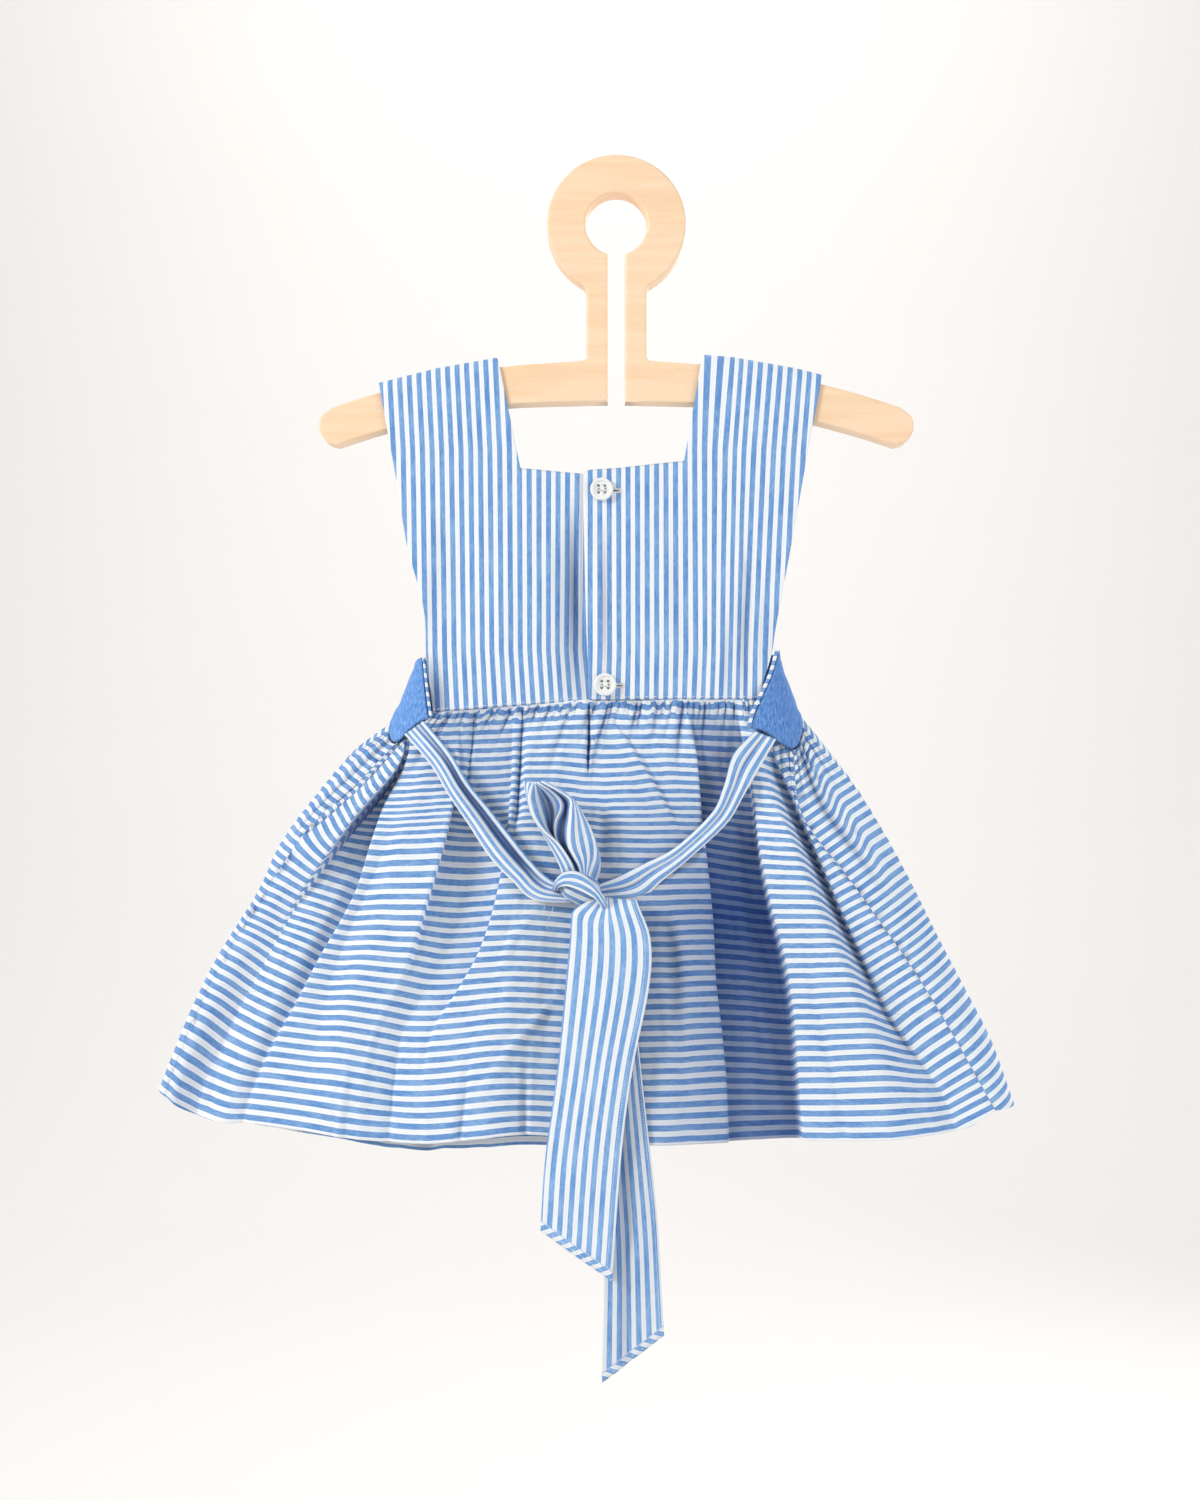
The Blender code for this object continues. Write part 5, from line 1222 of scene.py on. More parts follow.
def seamPuckers(down, away, seed, reach):
    # small pinches along a side seam, away is the distance from it in mm
    kind = puckerShape
    dice = np.random.RandomState(seed)
    total = np.zeros(np.broadcast(down, away).shape)
    for spot in np.arange(kind["from"], kind["until"], kind["pitch"]):
        spot, size = spot + dice.uniform(-kind["shift"], kind["shift"]), dice.uniform(*kind["size"])
        long = reach * dice.uniform(*kind["reach"]) * mix(1.0, kind["lowerReach"], spot)
        lean = dice.uniform(*kind["lean"])
        near = np.exp(-((down - spot - lean * away) / size) ** 2) * np.clip(1.0 - away / long, 0, 1)
        total -= near * dice.uniform(*kind["rise"]) * mix(*kind["fade"], spot)
    return total


def softened(values, passes, axis):
    for _ in range(passes):
        pad = np.concatenate([np.take(values, [0], axis), values, np.take(values, [-1], axis)], axis)
        count = values.shape[axis]
        before, after = (np.take(pad, range(k, k + count), axis) for k in (0, 2))
        values = (before + 2 * values + after) / 4
    return values


def skirtRows(length):
    # close rows where the cloth is gathered, wider ones below
    marks = np.concatenate([(0.0, 0.3, 0.8), np.arange(1.7, 30.0, 1.2), np.arange(31.4, length - 2.2, 3.3),
                            (length - 0.8, length - 0.3, length)])
    return marks / length


def lookUp(x, base, values):
    # values of each row of a surface at the places x in it
    return np.array([np.interp(x[r], base[r, :, 0], values[r]) for r in range(len(x))])


def foldLines(left, right, base, steps):
    # x of every fold's line in each row, kept in order, and how far out it stands
    shape, none = skirtShape, np.zeros(len(left))
    knots, rises = [left[:, 0]], [none]
    for line in backLines:
        path = frontView(line["path"])
        x = np.interp(-left[:, 2], -path[:, 1], path[:, 0])
        for _ in range(shape["lineTries"]):
            z = lookUp(x, base, base[..., 2])
            x = np.interp(-z, -path[:, 1], path[:, 0])
        knots.append(x)
        rises.append(np.interp(-z, -path[:, 1], path[:, 2]))
    knots.append(right[:, 0])
    rises.append(none)
    knots, rises = (softened(np.array(values), shape["softPasses"], 1) for values in (knots, rises))
    knots[0], knots[-1] = left[:, 0], right[:, 0]
    least = [-shape["lapBack"] if count == shape["lapColumns"] else shape["leastGap"] for count in steps]
    for index in range(1, len(knots)):
        knots[index] = np.maximum(knots[index], knots[index - 1] + least[index - 1])
    for index in range(len(knots) - 2, 0, -1):
        knots[index] = np.minimum(knots[index], knots[index + 1] - least[index])
    return knots, rises


def filled(lines, steps, straight=1.0, eased=0.0):
    # columns of values from each line to the next one
    made = []
    for first, second, count in zip(lines, lines[1:], steps):
        part = np.arange(count) / count
        made.append(mix(first[:, None], second[:, None], straight * part + eased * ease(part)))
    return np.concatenate(made + [lines[-1][:, None]], 1)


def backStripes(plain, place, deep, jump, steps):
    # where the back skirt's stripes lie, in mm down the flat cloth
    shape, flap = skirtShape, flapShape
    x, z, down = plain[..., 0], plain[..., 2], deep[:, 0]
    leftFold, innerFold, rightFold = (foldColumn(steps, shape[key])
                                      for key in ("leftFold", "innerFold", "rightFold"))
    along = deep * shape["length"] + shape["backPhase"] * cottonFinish["repeat"]
    for span in levelSpans:
        along = levelled(along, x, z, deep, span, steps)
    along[:, leftFold:rightFold] += gatherJogs(place, deep, shape["backSeed"])[:, leftFold:rightFold]
    # between each side seam and its nearest fold the stripes run square to the seam
    square = besideLine(plain[:, :innerFold + 1], -1, along[:, innerFold])
    start, over, most = flap["squareFrom"]
    end, fadeLong, less = flap["squareUntil"]
    live = most * (ease((down - start) / over) * (1.0 - less * ease((down - end) / fadeLong)))[:, None]
    along[:, leftFold:innerFold] = mix(along[:, leftFold:innerFold], square[:, leftFold:innerFold], live)
    along[:, :leftFold + 1] = besideLine(plain[:, :leftFold + 1], -1, along[:, leftFold])
    start, over = flap["steepUntil"]
    steep = flap["steeper"] * (1.0 - ease((deep - start) / over))
    along[:, :leftFold] += ((x[:, leftFold:leftFold + 1] - x) * steep + jump)[:, :leftFold]
    along[:, rightFold:] = besideLine(plain[:, rightFold:], 0, along[:, rightFold])
    return along


def backShade(layers, place, deep, leftFold):
    # painted shade: the darkest of several layers, the shade under the waist seam and the dark wall beside
    # the left flap
    down = deep[:, 0]
    first, last, fade, fadeLong, deepest = gathers["waistShade"]
    under = deepest * ease((place - first) / 0.04) * ease((last - place) / 0.10) \
        * (1.0 - ease((deep - fade) / fadeLong))
    shade = np.maximum.reduce([*layers, under])
    start, over = flapShape["wallUntil"]
    wall = flapShape["wallDark"] * (1.0 - ease((down - start) / over)) * ease(down / 0.08)
    columns = slice(leftFold + 1, leftFold + 4)
    shade[:, columns] = np.maximum(shade[:, columns], wall[:, None])
    return shade


def makeSkirtBack(finishes):
    shape, corner = skirtShape, wingFinish["corner"]
    down = skirtRows(shape["length"])
    share = np.linspace(0.0, 1.0, shape["backStations"])
    left = sideCurve("seamLeft", wingShapes["left"], corner, down) + (shape["sideSeamShift"], 0, 0)
    right = sideCurve("seamRight", wingShapes["right"], corner, down) - (shape["sideSeamShift"], 0, 0)
    hemRows = ((0.0, *left[-1]),) + shape["hemBack"] + ((1.0, *right[-1]),)
    base = patch(backTop(share), through(hemRows, share), left, right, share, down)
    lap, finer = shape["lapColumns"], shape["columnShare"]
    steps = [shape["firstColumns"]] + [line["to"] if line["to"] == lap else round(line["to"] * finer)
                                       for line in backLines]
    knots, rises = foldLines(left, right, base, steps)
    none = np.zeros(len(down))
    darkness = [np.interp(down, (0.1, 0.5, 1.0), line.get("shade", (0, 0, 0))) for line in backLines]
    x, rise = filled(knots, steps), softened(filled(rises, steps, *shape["foldBend"]), 1, 1)
    place, y, z = (lookUp(x, base, values) for values in ([share] * len(down), base[..., 1], base[..., 2]))
    deep = down[:, None] + np.zeros_like(x)
    short = markRise(backMarks, x, z) * ease((deep - 0.005) / 0.02)
    rise = shape["foldRise"] * (rise * ease(deep / 0.10) + short)
    gathered, pinched = gatherRise(place, deep, shape["backSeed"])
    edge = np.minimum(place, 1 - place)
    calm = ease(edge / 0.012)
    width, length = place * shape["cutWidth"], deep * shape["length"]
    rise = rise + gathered
    (high, seed, size), (finer, seedFiner, sizeFiner) = shape["ripples"]
    rise = rise + calm * ease(deep / 0.08) * high * (ripple(width, length, seed, size)
                                                     + finer * ripple(width, length, seedFiner, sizeFiner))
    rise = rise * calm
    fromLeft, fromRight = x - x[:, :1], x[:, -1:] - x
    puckers = seamPuckers(deep, fromLeft, *shape["leftPuckers"]) * ease(fromLeft / 0.9) \
        + seamPuckers(deep, fromRight, *shape["rightPuckers"]) * ease(fromRight / 0.9)
    leftFold = foldColumn(steps, shape["leftFold"])
    wrinkled, jump, dark = flapWrinkle(deep, fromLeft)
    for values in (wrinkled, jump, dark):
        values[:, leftFold + 1:] = 0.0
    rise = rise + puckers + wrinkled * ease(fromLeft / 0.9)
    lifted = shape["lift"] * rise * ease(deep / 0.2) * (1.0 - ease((deep - 0.85) / 0.15))
    lifted = lifted - gathers["pinchLift"] * gathered * ease((deep - 0.012) / 0.02) * calm
    grid = np.stack([x, y - rise, z + lifted], -1)
    grid[:, :, 1] -= ease((deep - 0.003) / 0.012) * ease(edge / 0.1) * 0.6
    along = backStripes(np.stack([x, y, z], -1), place, deep, jump, steps)
    # painted shade from the pinches, the folds' listed shade, the short folds, the puckers and the flap's
    # wrinkle
    layers = (pinched, filled([none, *darkness, none], steps) * mix(0.3, 1.0, ease(deep / 0.08)),
              ease((-short - 1.1) / 2.0), 0.7 * ease(-puckers / 1.6), dark)
    shade = backShade(layers, place, deep, leftFold)
    flat = np.stack([along, width], -1)
    piece = shell("skirtBack", grid, flat, shape["half"], finishes["cotton"], rim=shape["rim"], shade=shade)
    declare(piece, "skirt_back")
    row = int(np.argmin(np.abs(down - 1.0 + seamRows["hemUp"] / shape["length"])))
    over = grid + wallNormals(grid) * (shape["half"] + seamRows["overCloth"])
    stitchLines.append(("hem", over[row, 6:-6]))
    return along


stripShape = {
    "columns": {"left": 18, "right": 30}, "wide": 20, "edges": (0, 0.6), "cutWidth": 30,
    # puckers at the seam, then a row inside the strip: seed, reach in mm; the row's place, spread, share, end
    "seamPuckers": (64, 10), "innerPuckers": (74, 6), "innerAt": 0.42, "innerSpread": 34, "innerShare": 0.8,
    "innerEnd": 0.6,
    # fine pleats under the wing, with painted shade in their hollows
    "pleats": 40, "pleatBend": (2.2, 9), "pleatRise": 1.3, "pleatLong": 0.09, "pleatDark": 0.8,
    # the crease beside the seam: from, over; its width, its painted shade, and where the stripes step across
    # it
    "crease": (0.22, 0.24), "creaseWide": 0.07, "creaseDark": 0.55, "stepAt": 0.32, "stepOver": 0.3,
}


def sideStrip(name, outline, down, backAlong):
    # the front skirt from its outline round to a side seam: points, shares across, stripe places, painted
    # shade
    kind, wing, corner = stripShape, wingShapes[name], wingFinish["corner"]
    creaseAt, jumpHigh, creaseDeep = wing["crease"]
    side = int(wing["side"])
    seam = sideCurve("seam" + name.capitalize(), wing, corner, down)
    part = stations(kind["wide"], kind["wide"] / kind["columns"][name], kind["edges"])
    reach, turn = seam[-1] - outline[-1], (math.pi / 2 * part)[:, None]
    quarter = outline[-1] + reach * (1, 0, 1) * (1 - np.cos(turn)) + reach * (0, 1, 0) * np.sin(turn)
    plain = patch(wingFoot(wing, mix(0.5, corner, part)), quarter, outline, seam, part, down)
    plain = plain + np.array((side * skirtShape["sideSeamShift"], 0, 0)) * part[None, :, None]
    away = np.linalg.norm(plain - plain[:, -1:], axis=-1)
    seed, long = kind["seamPuckers"]
    pucker = seamPuckers(down[:, None], away, side + seed, long)
    seed, long = kind["innerPuckers"]
    away = np.abs(part[None] - kind["innerAt"]) * kind["innerSpread"]
    inner = seamPuckers(down[:, None], away, side + seed, long)
    pucker += kind["innerShare"] * inner * (1 - ease(down / kind["innerEnd"]))[:, None]
    bend, waves = kind["pleatBend"]
    fine = np.sin(part[None] * kind["pleats"] + bend * np.sin(part[None] * waves)) * kind["pleatRise"]
    fine = fine * np.exp(-down / kind["pleatLong"])[:, None]
    shade = np.maximum(kind["pleatDark"] * ease(-fine), 0.6 * ease(-pucker / 1.4)) * ease(part / 0.1)[None]
    # a crease beside the seam that lifts the stripes towards the outline
    start, over = kind["crease"]
    crease = (1.0 - ease((down - start) / over))[:, None] * np.ones_like(part)
    valley = crease * np.exp(-((part - creaseAt) / kind["creaseWide"]) ** 2)
    jump = jumpHigh * crease * (1.0 - ease((part - creaseAt + kind["stepAt"]) / kind["stepOver"]))
    normal = wallNormals(plain)
    normal = normal * np.sign(-normal[..., 1:2])
    rise = (pucker + fine - creaseDeep * valley) * ease(part / 0.25) * ease((1.02 - part) / 0.10)
    along = besideLine(plain, -1, backAlong[:, 0 if side < 0 else -1]) + (jump + wing["seamJump"])
    return plain + normal * rise[..., None], part, along, np.maximum(shade, kind["creaseDark"] * valley)


def makeSkirtFront(finishes, backAlong):
    shape = skirtShape
    down = skirtRows(shape["length"])
    share = np.linspace(0.0, 1.0, shape["frontStations"])
    outlines = {}
    for name, reach in zip(("left", "right"), shape["scallop"]):
        outline = sideCurve("outline" + name.capitalize(), wingShapes[name], 0.5, down)
        wave = np.abs(np.sin(math.pi * down * shape["length"] / shape["scallopLong"]))
        outline[:, 0] += reach * (wave - 0.5) * ease(down / 0.03) * (1.0 - ease((down - 0.25) / 0.3))
        outlines[name] = outline
    left, right = outlines["left"], outlines["right"]
    hemRows = ((0.0, *left[-1]),) + shape["hemFront"] + ((1.0, *right[-1]),)
    main = patch(frontTop(share), through(hemRows, share), left, right, share, down)
    deep = down[:, None] + np.zeros((1, len(share)))
    place = share[None] + np.zeros((len(down), 1))
    rise = np.zeros_like(place)
    for top, hem, leftWidth, rightWidth, height, start in frontFolds:
        away = place - mix(top, hem, ease(deep))
        near = np.where(away < 0, -away / leftWidth, away / rightWidth) / mix(0.45, 1.0, deep)
        rise += height * ease((deep - start) / 0.45) * np.cos(near.clip(0, 1) * math.pi / 2) ** 2
    gathered, shade = gatherRise(place, deep, shape["frontSeed"])
    rise += gathered
    rise += 0.25 * ripple(place * shape["cutWidth"], deep * shape["length"], 22, 26.0) * ease(deep / 0.08)
    calm = ease(np.minimum(place, 1 - place) / 0.06)
    # painted shade in the deepest front folds
    shade = np.maximum(shade, 0.6 * ease((-4.0 - rise) / 5.0) * calm)
    main[..., 1] += calm * (rise + shape["frontBelly"] * np.sin(math.pi * deep))
    main[..., 2] += calm * shape["lift"] * rise * ease(deep / 0.2) * (1.0 - 0.9 * ease((deep - 0.85) / 0.15))
    (leftStrip, leftPart, leftAlong, leftShade), (rightStrip, rightPart, rightAlong, rightShade) = (
        sideStrip(name, outline, down, backAlong) for name, outline in outlines.items())
    # the stripes follow the seams at the sides and turn level towards the middle
    along = deep * shape["length"] + shape["frontPhase"] * cottonFinish["repeat"]
    leftOff, rightOff = leftAlong[:, :1] - along[:, :1], rightAlong[:, :1] - along[:, -1:]
    along = along + leftOff * (1 - ease(place / 0.3)) + rightOff * (1 - ease((1 - place) / 0.3))
    wide, cut = stripShape["cutWidth"], shape["cutWidth"]
    across = np.concatenate([-leftPart[:0:-1] * wide, share * cut, cut + rightPart[1:] * wide])
    grid, along, shade = (
        np.concatenate([first[:, :0:-1], middle, last[:, 1:]], 1) for first, middle, last in (
            (leftStrip, main, rightStrip), (leftAlong, along, rightAlong), (leftShade, shade, rightShade)))
    flat = np.stack([along, across[None] + 0 * along], -1)
    piece = shell("skirtFront", grid, flat, shape["half"], finishes["cotton"], rim=shape["rim"], shade=shade)
    declare(piece, "skirt_front")
    print("skirt made")


sashShape = {
    "left": (
        (0, -117.4, -301.6, -106.8, -293.8, -16.2, 0.1), (0.13, -102, -319, -91.5, -312, -21.5, 0.6),
        (0.27, -92.4, -334.5, -81.6, -328, -24.5, 1), (0.42, -81.4, -350.8, -70, -342, -26.5, 1),
        (0.6, -68.8, -369.4, -58, -356.8, -29.2, 1), (0.75, -56.8, -382, -47, -370.6, -29, 0.9),
        (0.9, -44.8, -392.2, -36.6, -380.5, -30, 0.6), (1, -24, -393.5, -24, -386, -32, 0.2)),
    "right": (
        (0, 88.2, -304.2, 76.4, -299.6, -17.9, 0.1), (0.13, 76.8, -322.8, 63.9, -312.6, -25.5, 0.5),
        (0.27, 69.6, -334.9, 58.2, -330.5, -29, 0.8), (0.42, 60.3, -350, 51.6, -344.7, -30.5, 1),
        (0.6, 40.4, -368.6, 31.6, -363.6, -31.6, 1), (0.78, 24, -382.5, 14.2, -372.6, -29, 0.8),
        (0.9, 12.5, -391.5, 1, -379.3, -26.5, 0.6), (1, -12, -392.5, -12, -384.5, -27.5, 0.2)),
    "tailFront": (
        (0, -24, -388.5, 10.6, -391.6, -35.5, 1), (0.03, -24.3, -394.5, 12, -395, -40, 1),
        (0.12, -25.5, -412, 18, -411, -40.5, 1), (0.28, -28, -437.9, 17.6, -436, -40, 0.9),
        (0.48, -32.3, -481, 8.6, -481, -38.5, 0.8), (0.72, -38.8, -527.4, 2.7, -525, -37, 0.8),
        (0.97, -41.3, -561.8, -2.3, -589.3, -36.1, 0.6), (1, -41.5, -567.2, -2.7, -594.7, -36, 0.6)),
    "tailBack": (
        (0, -9, -390, 5, -392, -32, 0.3), (0.2, -10, -432, 8, -432, -32, 0.6),
        (0.45, -10.5, -488, 13.4, -484, -31.5, 0.8), (0.62, -9.5, -530, 18, -525, -31, 1),
        (0.8, -7, -590, 22.4, -567, -30.5, 1), (0.98, -8.1, -646.8, 25.6, -620.8, -30.5, 0.8),
        (1, -8.1, -652.2, 25.9, -626.2, -30.5, 0.8)),
    # section across each band: share of the width, how far it stands out
    "leftSection": (
        (0, 0), (0.08, 1.3), (0.2, 2.4), (0.34, 2.6), (0.48, 1.4), (0.58, -1.2), (0.68, -2.4), (0.77, -2.2),
        (0.86, -0.2), (0.93, 1.6), (1, 1.5)),
    "rightSection": (
        (0, 0), (0.12, 1.2), (0.28, 1.9), (0.42, 1.6), (0.52, 0.7), (0.62, 1.2), (0.76, 1.7), (0.9, 1.5),
        (1, 1)),
    "tailFrontSection": ((0, 0), (0.2, 1.2), (0.5, 1.6), (0.8, 1.1), (1, 0)),
    "tailBackSection": ((0, 0), (0.25, 1.4), (0.45, -0.6), (0.6, 0.8), (1, 0.2)),
    # painted shade in the channels between the folds: across each band, then along it
    "leftShade": (
        ((0, 0), (0.5, 0), (0.58, 0.85), (0.66, 1), (0.78, 0.9), (0.85, 0.1), (1, 0)),
        ((0, 0.3), (0.15, 0.8), (0.7, 1), (0.86, 0.5), (0.93, 0), (1, 0))),
    "rightShade": (
        ((0, 0), (0.1, 0.1), (0.3, 0), (0.46, 0.1), (0.53, 0.8), (0.6, 0.1), (1, 0)),
        ((0, 0.8), (0.35, 1), (0.6, 0.4), (0.8, 0.9), (1, 1))),
    "tailFrontShade": (((0, 0), (1, 0)), ((0, 0), (1, 0))),
    "tailBackShade": (
        ((0, 0.36), (0.2, 0.28), (0.38, 0.72), (0.5, 0.28), (1, 0.22)), ((0, 1), (0.6, 1), (1, 0.4))),
    "phase": {"left": -0.9, "right": -0.5, "tailFront": 3.2, "tailBack": -1.2},
    "longer": {"tailFront": 4.4, "tailBack": 3.7},
    # turned ends: share of the length where each begins, lean of its stripes in degrees, phase in mm
    "tailFrontEnd": (0.97, 20, 1), "tailBackEnd": (0.98, -16, 2.4), "rows": 150, "waveSize": 30, "rim": 0.7,
    "hemWeight": 0.45, "endWeight": 1.7,
    # how far the upper left of the front tail is drawn in under the knot
    "tailFrontDrawn": 12.5, "drawnLong": (0.14, 0.055), "half": 0.4,
}


def ribbon(name, tie, finishes):
    # a length of tie between its two edges; stripes run along it
    shape, key, cutWidth = sashShape, tie["key"], tie["cutWidth"]
    end = shape.get(key + "End")
    down = np.linspace(0.0, 1.0, shape["rows"])
    if end:
        clear = down[np.abs(down - end[0]) > 0.003]
        down = np.sort(np.concatenate([clear, (end[0] - 0.001, end[0] + 0.001)]))
    part = stations(tie["columns"], 1.0, (0.0, 0.5))
    rows = through(shape[key], down)
    out = through(shape[key + "Section"], part)[:, 0]
    x = mix(rows[:, 0:1], rows[:, 2:3], part)
    z = mix(rows[:, 1:2], rows[:, 3:4], part)
    y = rows[:, 4:5] - out * rows[:, 5:6]
    longer = shape["longer"].get(key, 0.0)
    z, length = z - longer * down[:, None], tie["length"] + longer
    drawn = shape.get(key + "Drawn", 0.0)
    inner = ((0.55 - part) / 0.55).clip(0, 1)
    x = x + drawn * inner ** 0.8 * (1.0 - ease(down[:, None] / mix(*shape["drawnLong"], inner))) ** 1.5
    flat = np.stack([part[None] * cutWidth + shape["phase"][key] + 0 * x, down[:, None] * length + 0 * x], -1)
    wave = tie["wave"] * ripple(flat[..., 0], flat[..., 1], tie["seed"], shape["waveSize"])
    grid = np.stack([x, y - wave * np.sin(math.pi * part) ** 0.5, z], -1)
    weight, normal = np.ones_like(x), wallNormals(grid)
    for at in tie["hemmed"]:
        inside = (part * cutWidth - at if at > cutWidth / 2 else at - part * cutWidth)[None] + 0 * x
        weight += shape["hemWeight"] * ease((inside + 0.5) / 1.0)
        column = int(np.argmin(np.abs(part * cutWidth - at)))
        stitchLines.append(("edge", (grid[:, column] + normal[:, column] * (shape["half"] * 1.25))[3:-3]))
    if end:
        start, lean, phase = end[0], math.radians(end[1]), end[2]
        turned = down > start
        flat[turned, :, 0] = (grid[..., 2] * math.cos(lean) - grid[..., 0] * math.sin(lean))[turned] + phase
        weight[turned] *= shape["endWeight"]
        row = int(np.argmin(np.abs(down - (1 + start) / 2)))
        stitchLines.append(("end", (grid[row] + normal[row] * (shape["half"] * 1.85))[2:-2]))
    across, lengthways = (np.interp(at, *np.array(line).T)
                          for at, line in zip((part, down), shape[key + "Shade"]))
    piece = shell(name, grid, flat, shape["half"], finishes["tieCotton"], rim=shape["rim"], weight=weight,
                  shade=across[None] * lengthways[:, None])
    piece["cutWidth"], piece["cutArea"] = cutWidth * mm, cutWidth * length * mm * mm
    declare(piece, tie["node"])


sashTies = {
    "sashLeft": {
        "node": "sash_left", "key": "left", "columns": 36, "cutWidth": 25, "length": 128, "wave": 0.25,
        "seed": 41, "hemmed": (3,), "restsOn": ("skirtBack", "wingLeft")},
    "sashRight": {
        "node": "sash_right", "key": "right", "columns": 34, "cutWidth": 18.5, "length": 126, "wave": 0.25,
        "seed": 42, "hemmed": (16.2,), "restsOn": ("skirtBack", "wingRight")},
    "tailFront": {
        "node": "sash_tail_front", "key": "tailFront", "columns": 44, "cutWidth": 39.5, "length": 205,
        "wave": 0.35, "seed": 43, "hemmed": (3.2, 36.4), "restsOn": ("sashKnot",)},
    "tailBack": {
        "node": "sash_tail_back", "key": "tailBack", "columns": 40, "cutWidth": 33, "length": 262,
        "wave": 0.35, "seed": 44, "hemmed": (1.8, 31.2), "restsOn": ("sashKnot",)},
}


def makeSash(finishes):
    for name, tie in sashTies.items():
        ribbon(name, tie, finishes)
    print("sash made")


stitchKinds = {
    # pitch, length, radius in mm, thread
    "edge": (1.45, 0.95, 0.19, "whiteThread"), "seam": (2.3, 1.6, 0.19, "whiteThread"),
    "hem": (2, 1, 0.11, "blueThread"), "end": (2.2, 1.4, 0.2, "whiteThread"),
    "loose": (0.35, 0.9, 0.12, "whiteThread"), "satin": (0.42, 0.62, 0.34, "whiteThread"),
    "sewn": (3.2, 3.4, 0.42, "whiteThread"),
}


stitchUneven = (0.42, 0.55)  # a stitch's half length, as a share of its length


def stitchTree():
    # rows of stitches along a mesh of lines, each a small spindle laid along the line
    tree = bpy.data.node_groups.new("rowOfStitches", "GeometryNodeTree")
    for label, kind in (("Lines", "Geometry"), ("Pitch", "Float"), ("Length", "Float"), ("Radius", "Float"),
                        ("Seed", "Int"), ("Thread", "Material")):
        tree.interface.new_socket(label, in_out="INPUT", socket_type="NodeSocket" + kind)
    tree.interface.new_socket("Stitches", in_out="OUTPUT", socket_type="NodeSocketGeometry")
    given, made = tree.nodes.new("NodeGroupInput").outputs, tree.nodes.new("NodeGroupOutput").inputs
    curve = wired(tree, "GeometryNodeMeshToCurve", {"Mesh": given["Lines"]}).outputs["Curve"]
    spaced = wired(tree, "GeometryNodeResampleCurve", {"Curve": curve, "Length": given["Pitch"]},
                   mode="LENGTH")
    ball = wired(tree, "GeometryNodeMeshUVSphere", {"Segments": 6, "Rings": 5, "Radius": 1.0})
    tangent = wired(tree, "GeometryNodeInputTangent", {}).outputs["Tangent"]
    turned = wired(tree, "FunctionNodeAlignRotationToVector", {"Vector": tangent}, axis="Z")
    uneven = wired(tree, "FunctionNodeRandomValue",
                   {2: stitchUneven[0], 3: stitchUneven[1], "Seed": given["Seed"]}, data_type="FLOAT")
    reach = calc(tree, "MULTIPLY", given["Length"], uneven.outputs[1])
    size = wired(tree, "ShaderNodeCombineXYZ", {"X": given["Radius"], "Y": given["Radius"], "Z": reach})
    laid = wired(tree, "GeometryNodeInstanceOnPoints", {
        "Points": spaced.outputs["Curve"], "Instance": ball.outputs["Mesh"],
        "Rotation": turned.outputs["Rotation"], "Scale": size.outputs["Vector"]}).outputs["Instances"]
    real = wired(tree, "GeometryNodeRealizeInstances", {"Geometry": laid}).outputs["Geometry"]
    smooth = wired(tree, "GeometryNodeSetShadeSmooth", {"Geometry": real}).outputs["Geometry"]
    paint = wired(tree, "GeometryNodeSetMaterial", {"Geometry": smooth, "Material": given["Thread"]})
    tree.links.new(paint.outputs["Geometry"], made["Stitches"])
    return tree


def makeStitches(finishes):
    tree = stitchTree()
    sockets = {item.name: item.identifier for item in tree.interface.items_tree if item.in_out == "INPUT"}
    for index, (kind, (pitch, length, radius, thread)) in enumerate(stitchKinds.items()):
        points, edges = [], []
        for label, line in stitchLines:
            if label == kind:
                edges += [(len(points) + k, len(points) + k + 1) for k in range(len(line) - 1)]
                points += [tuple(p * mm) for p in np.asarray(line, float)]
        mesh = bpy.data.meshes.new("lines")
        mesh.from_pydata(points, edges, [])
        name = kind + "Stitches"
        rows = link(bpy.data.objects.new(name, mesh))
        maker = rows.modifiers.new("rows", "NODES")
        maker.node_group = tree
        values = {"Pitch": pitch * mm, "Length": length * mm, "Radius": radius * mm, "Seed": 11 + index,
                  "Thread": finishes[thread]}
        for label, value in values.items():
            maker[sockets[label]] = value
        done = bpy.data.meshes.new_from_object(rows.evaluated_get(bpy.context.evaluated_depsgraph_get()))
        rows.modifiers.clear()
        rows.data = done
        carry(rows, None)
        print(name, len(done.polygons))


def bodiceStitches():
    shape, rows = bodiceShape, seamRows
    over = shape["half"] + rows["overCloth"]
    for panel, span in shape["stitched"].items():
        x = np.linspace(*span, shape["stitchPoints"])
        line = bodicePoint(x, heightAt(shape["waist"], x) + shape["seamHalf"] + rows["waistUp"], panel)
        stitchLines.append(("seam", line - (0.0, over, 0.0)))


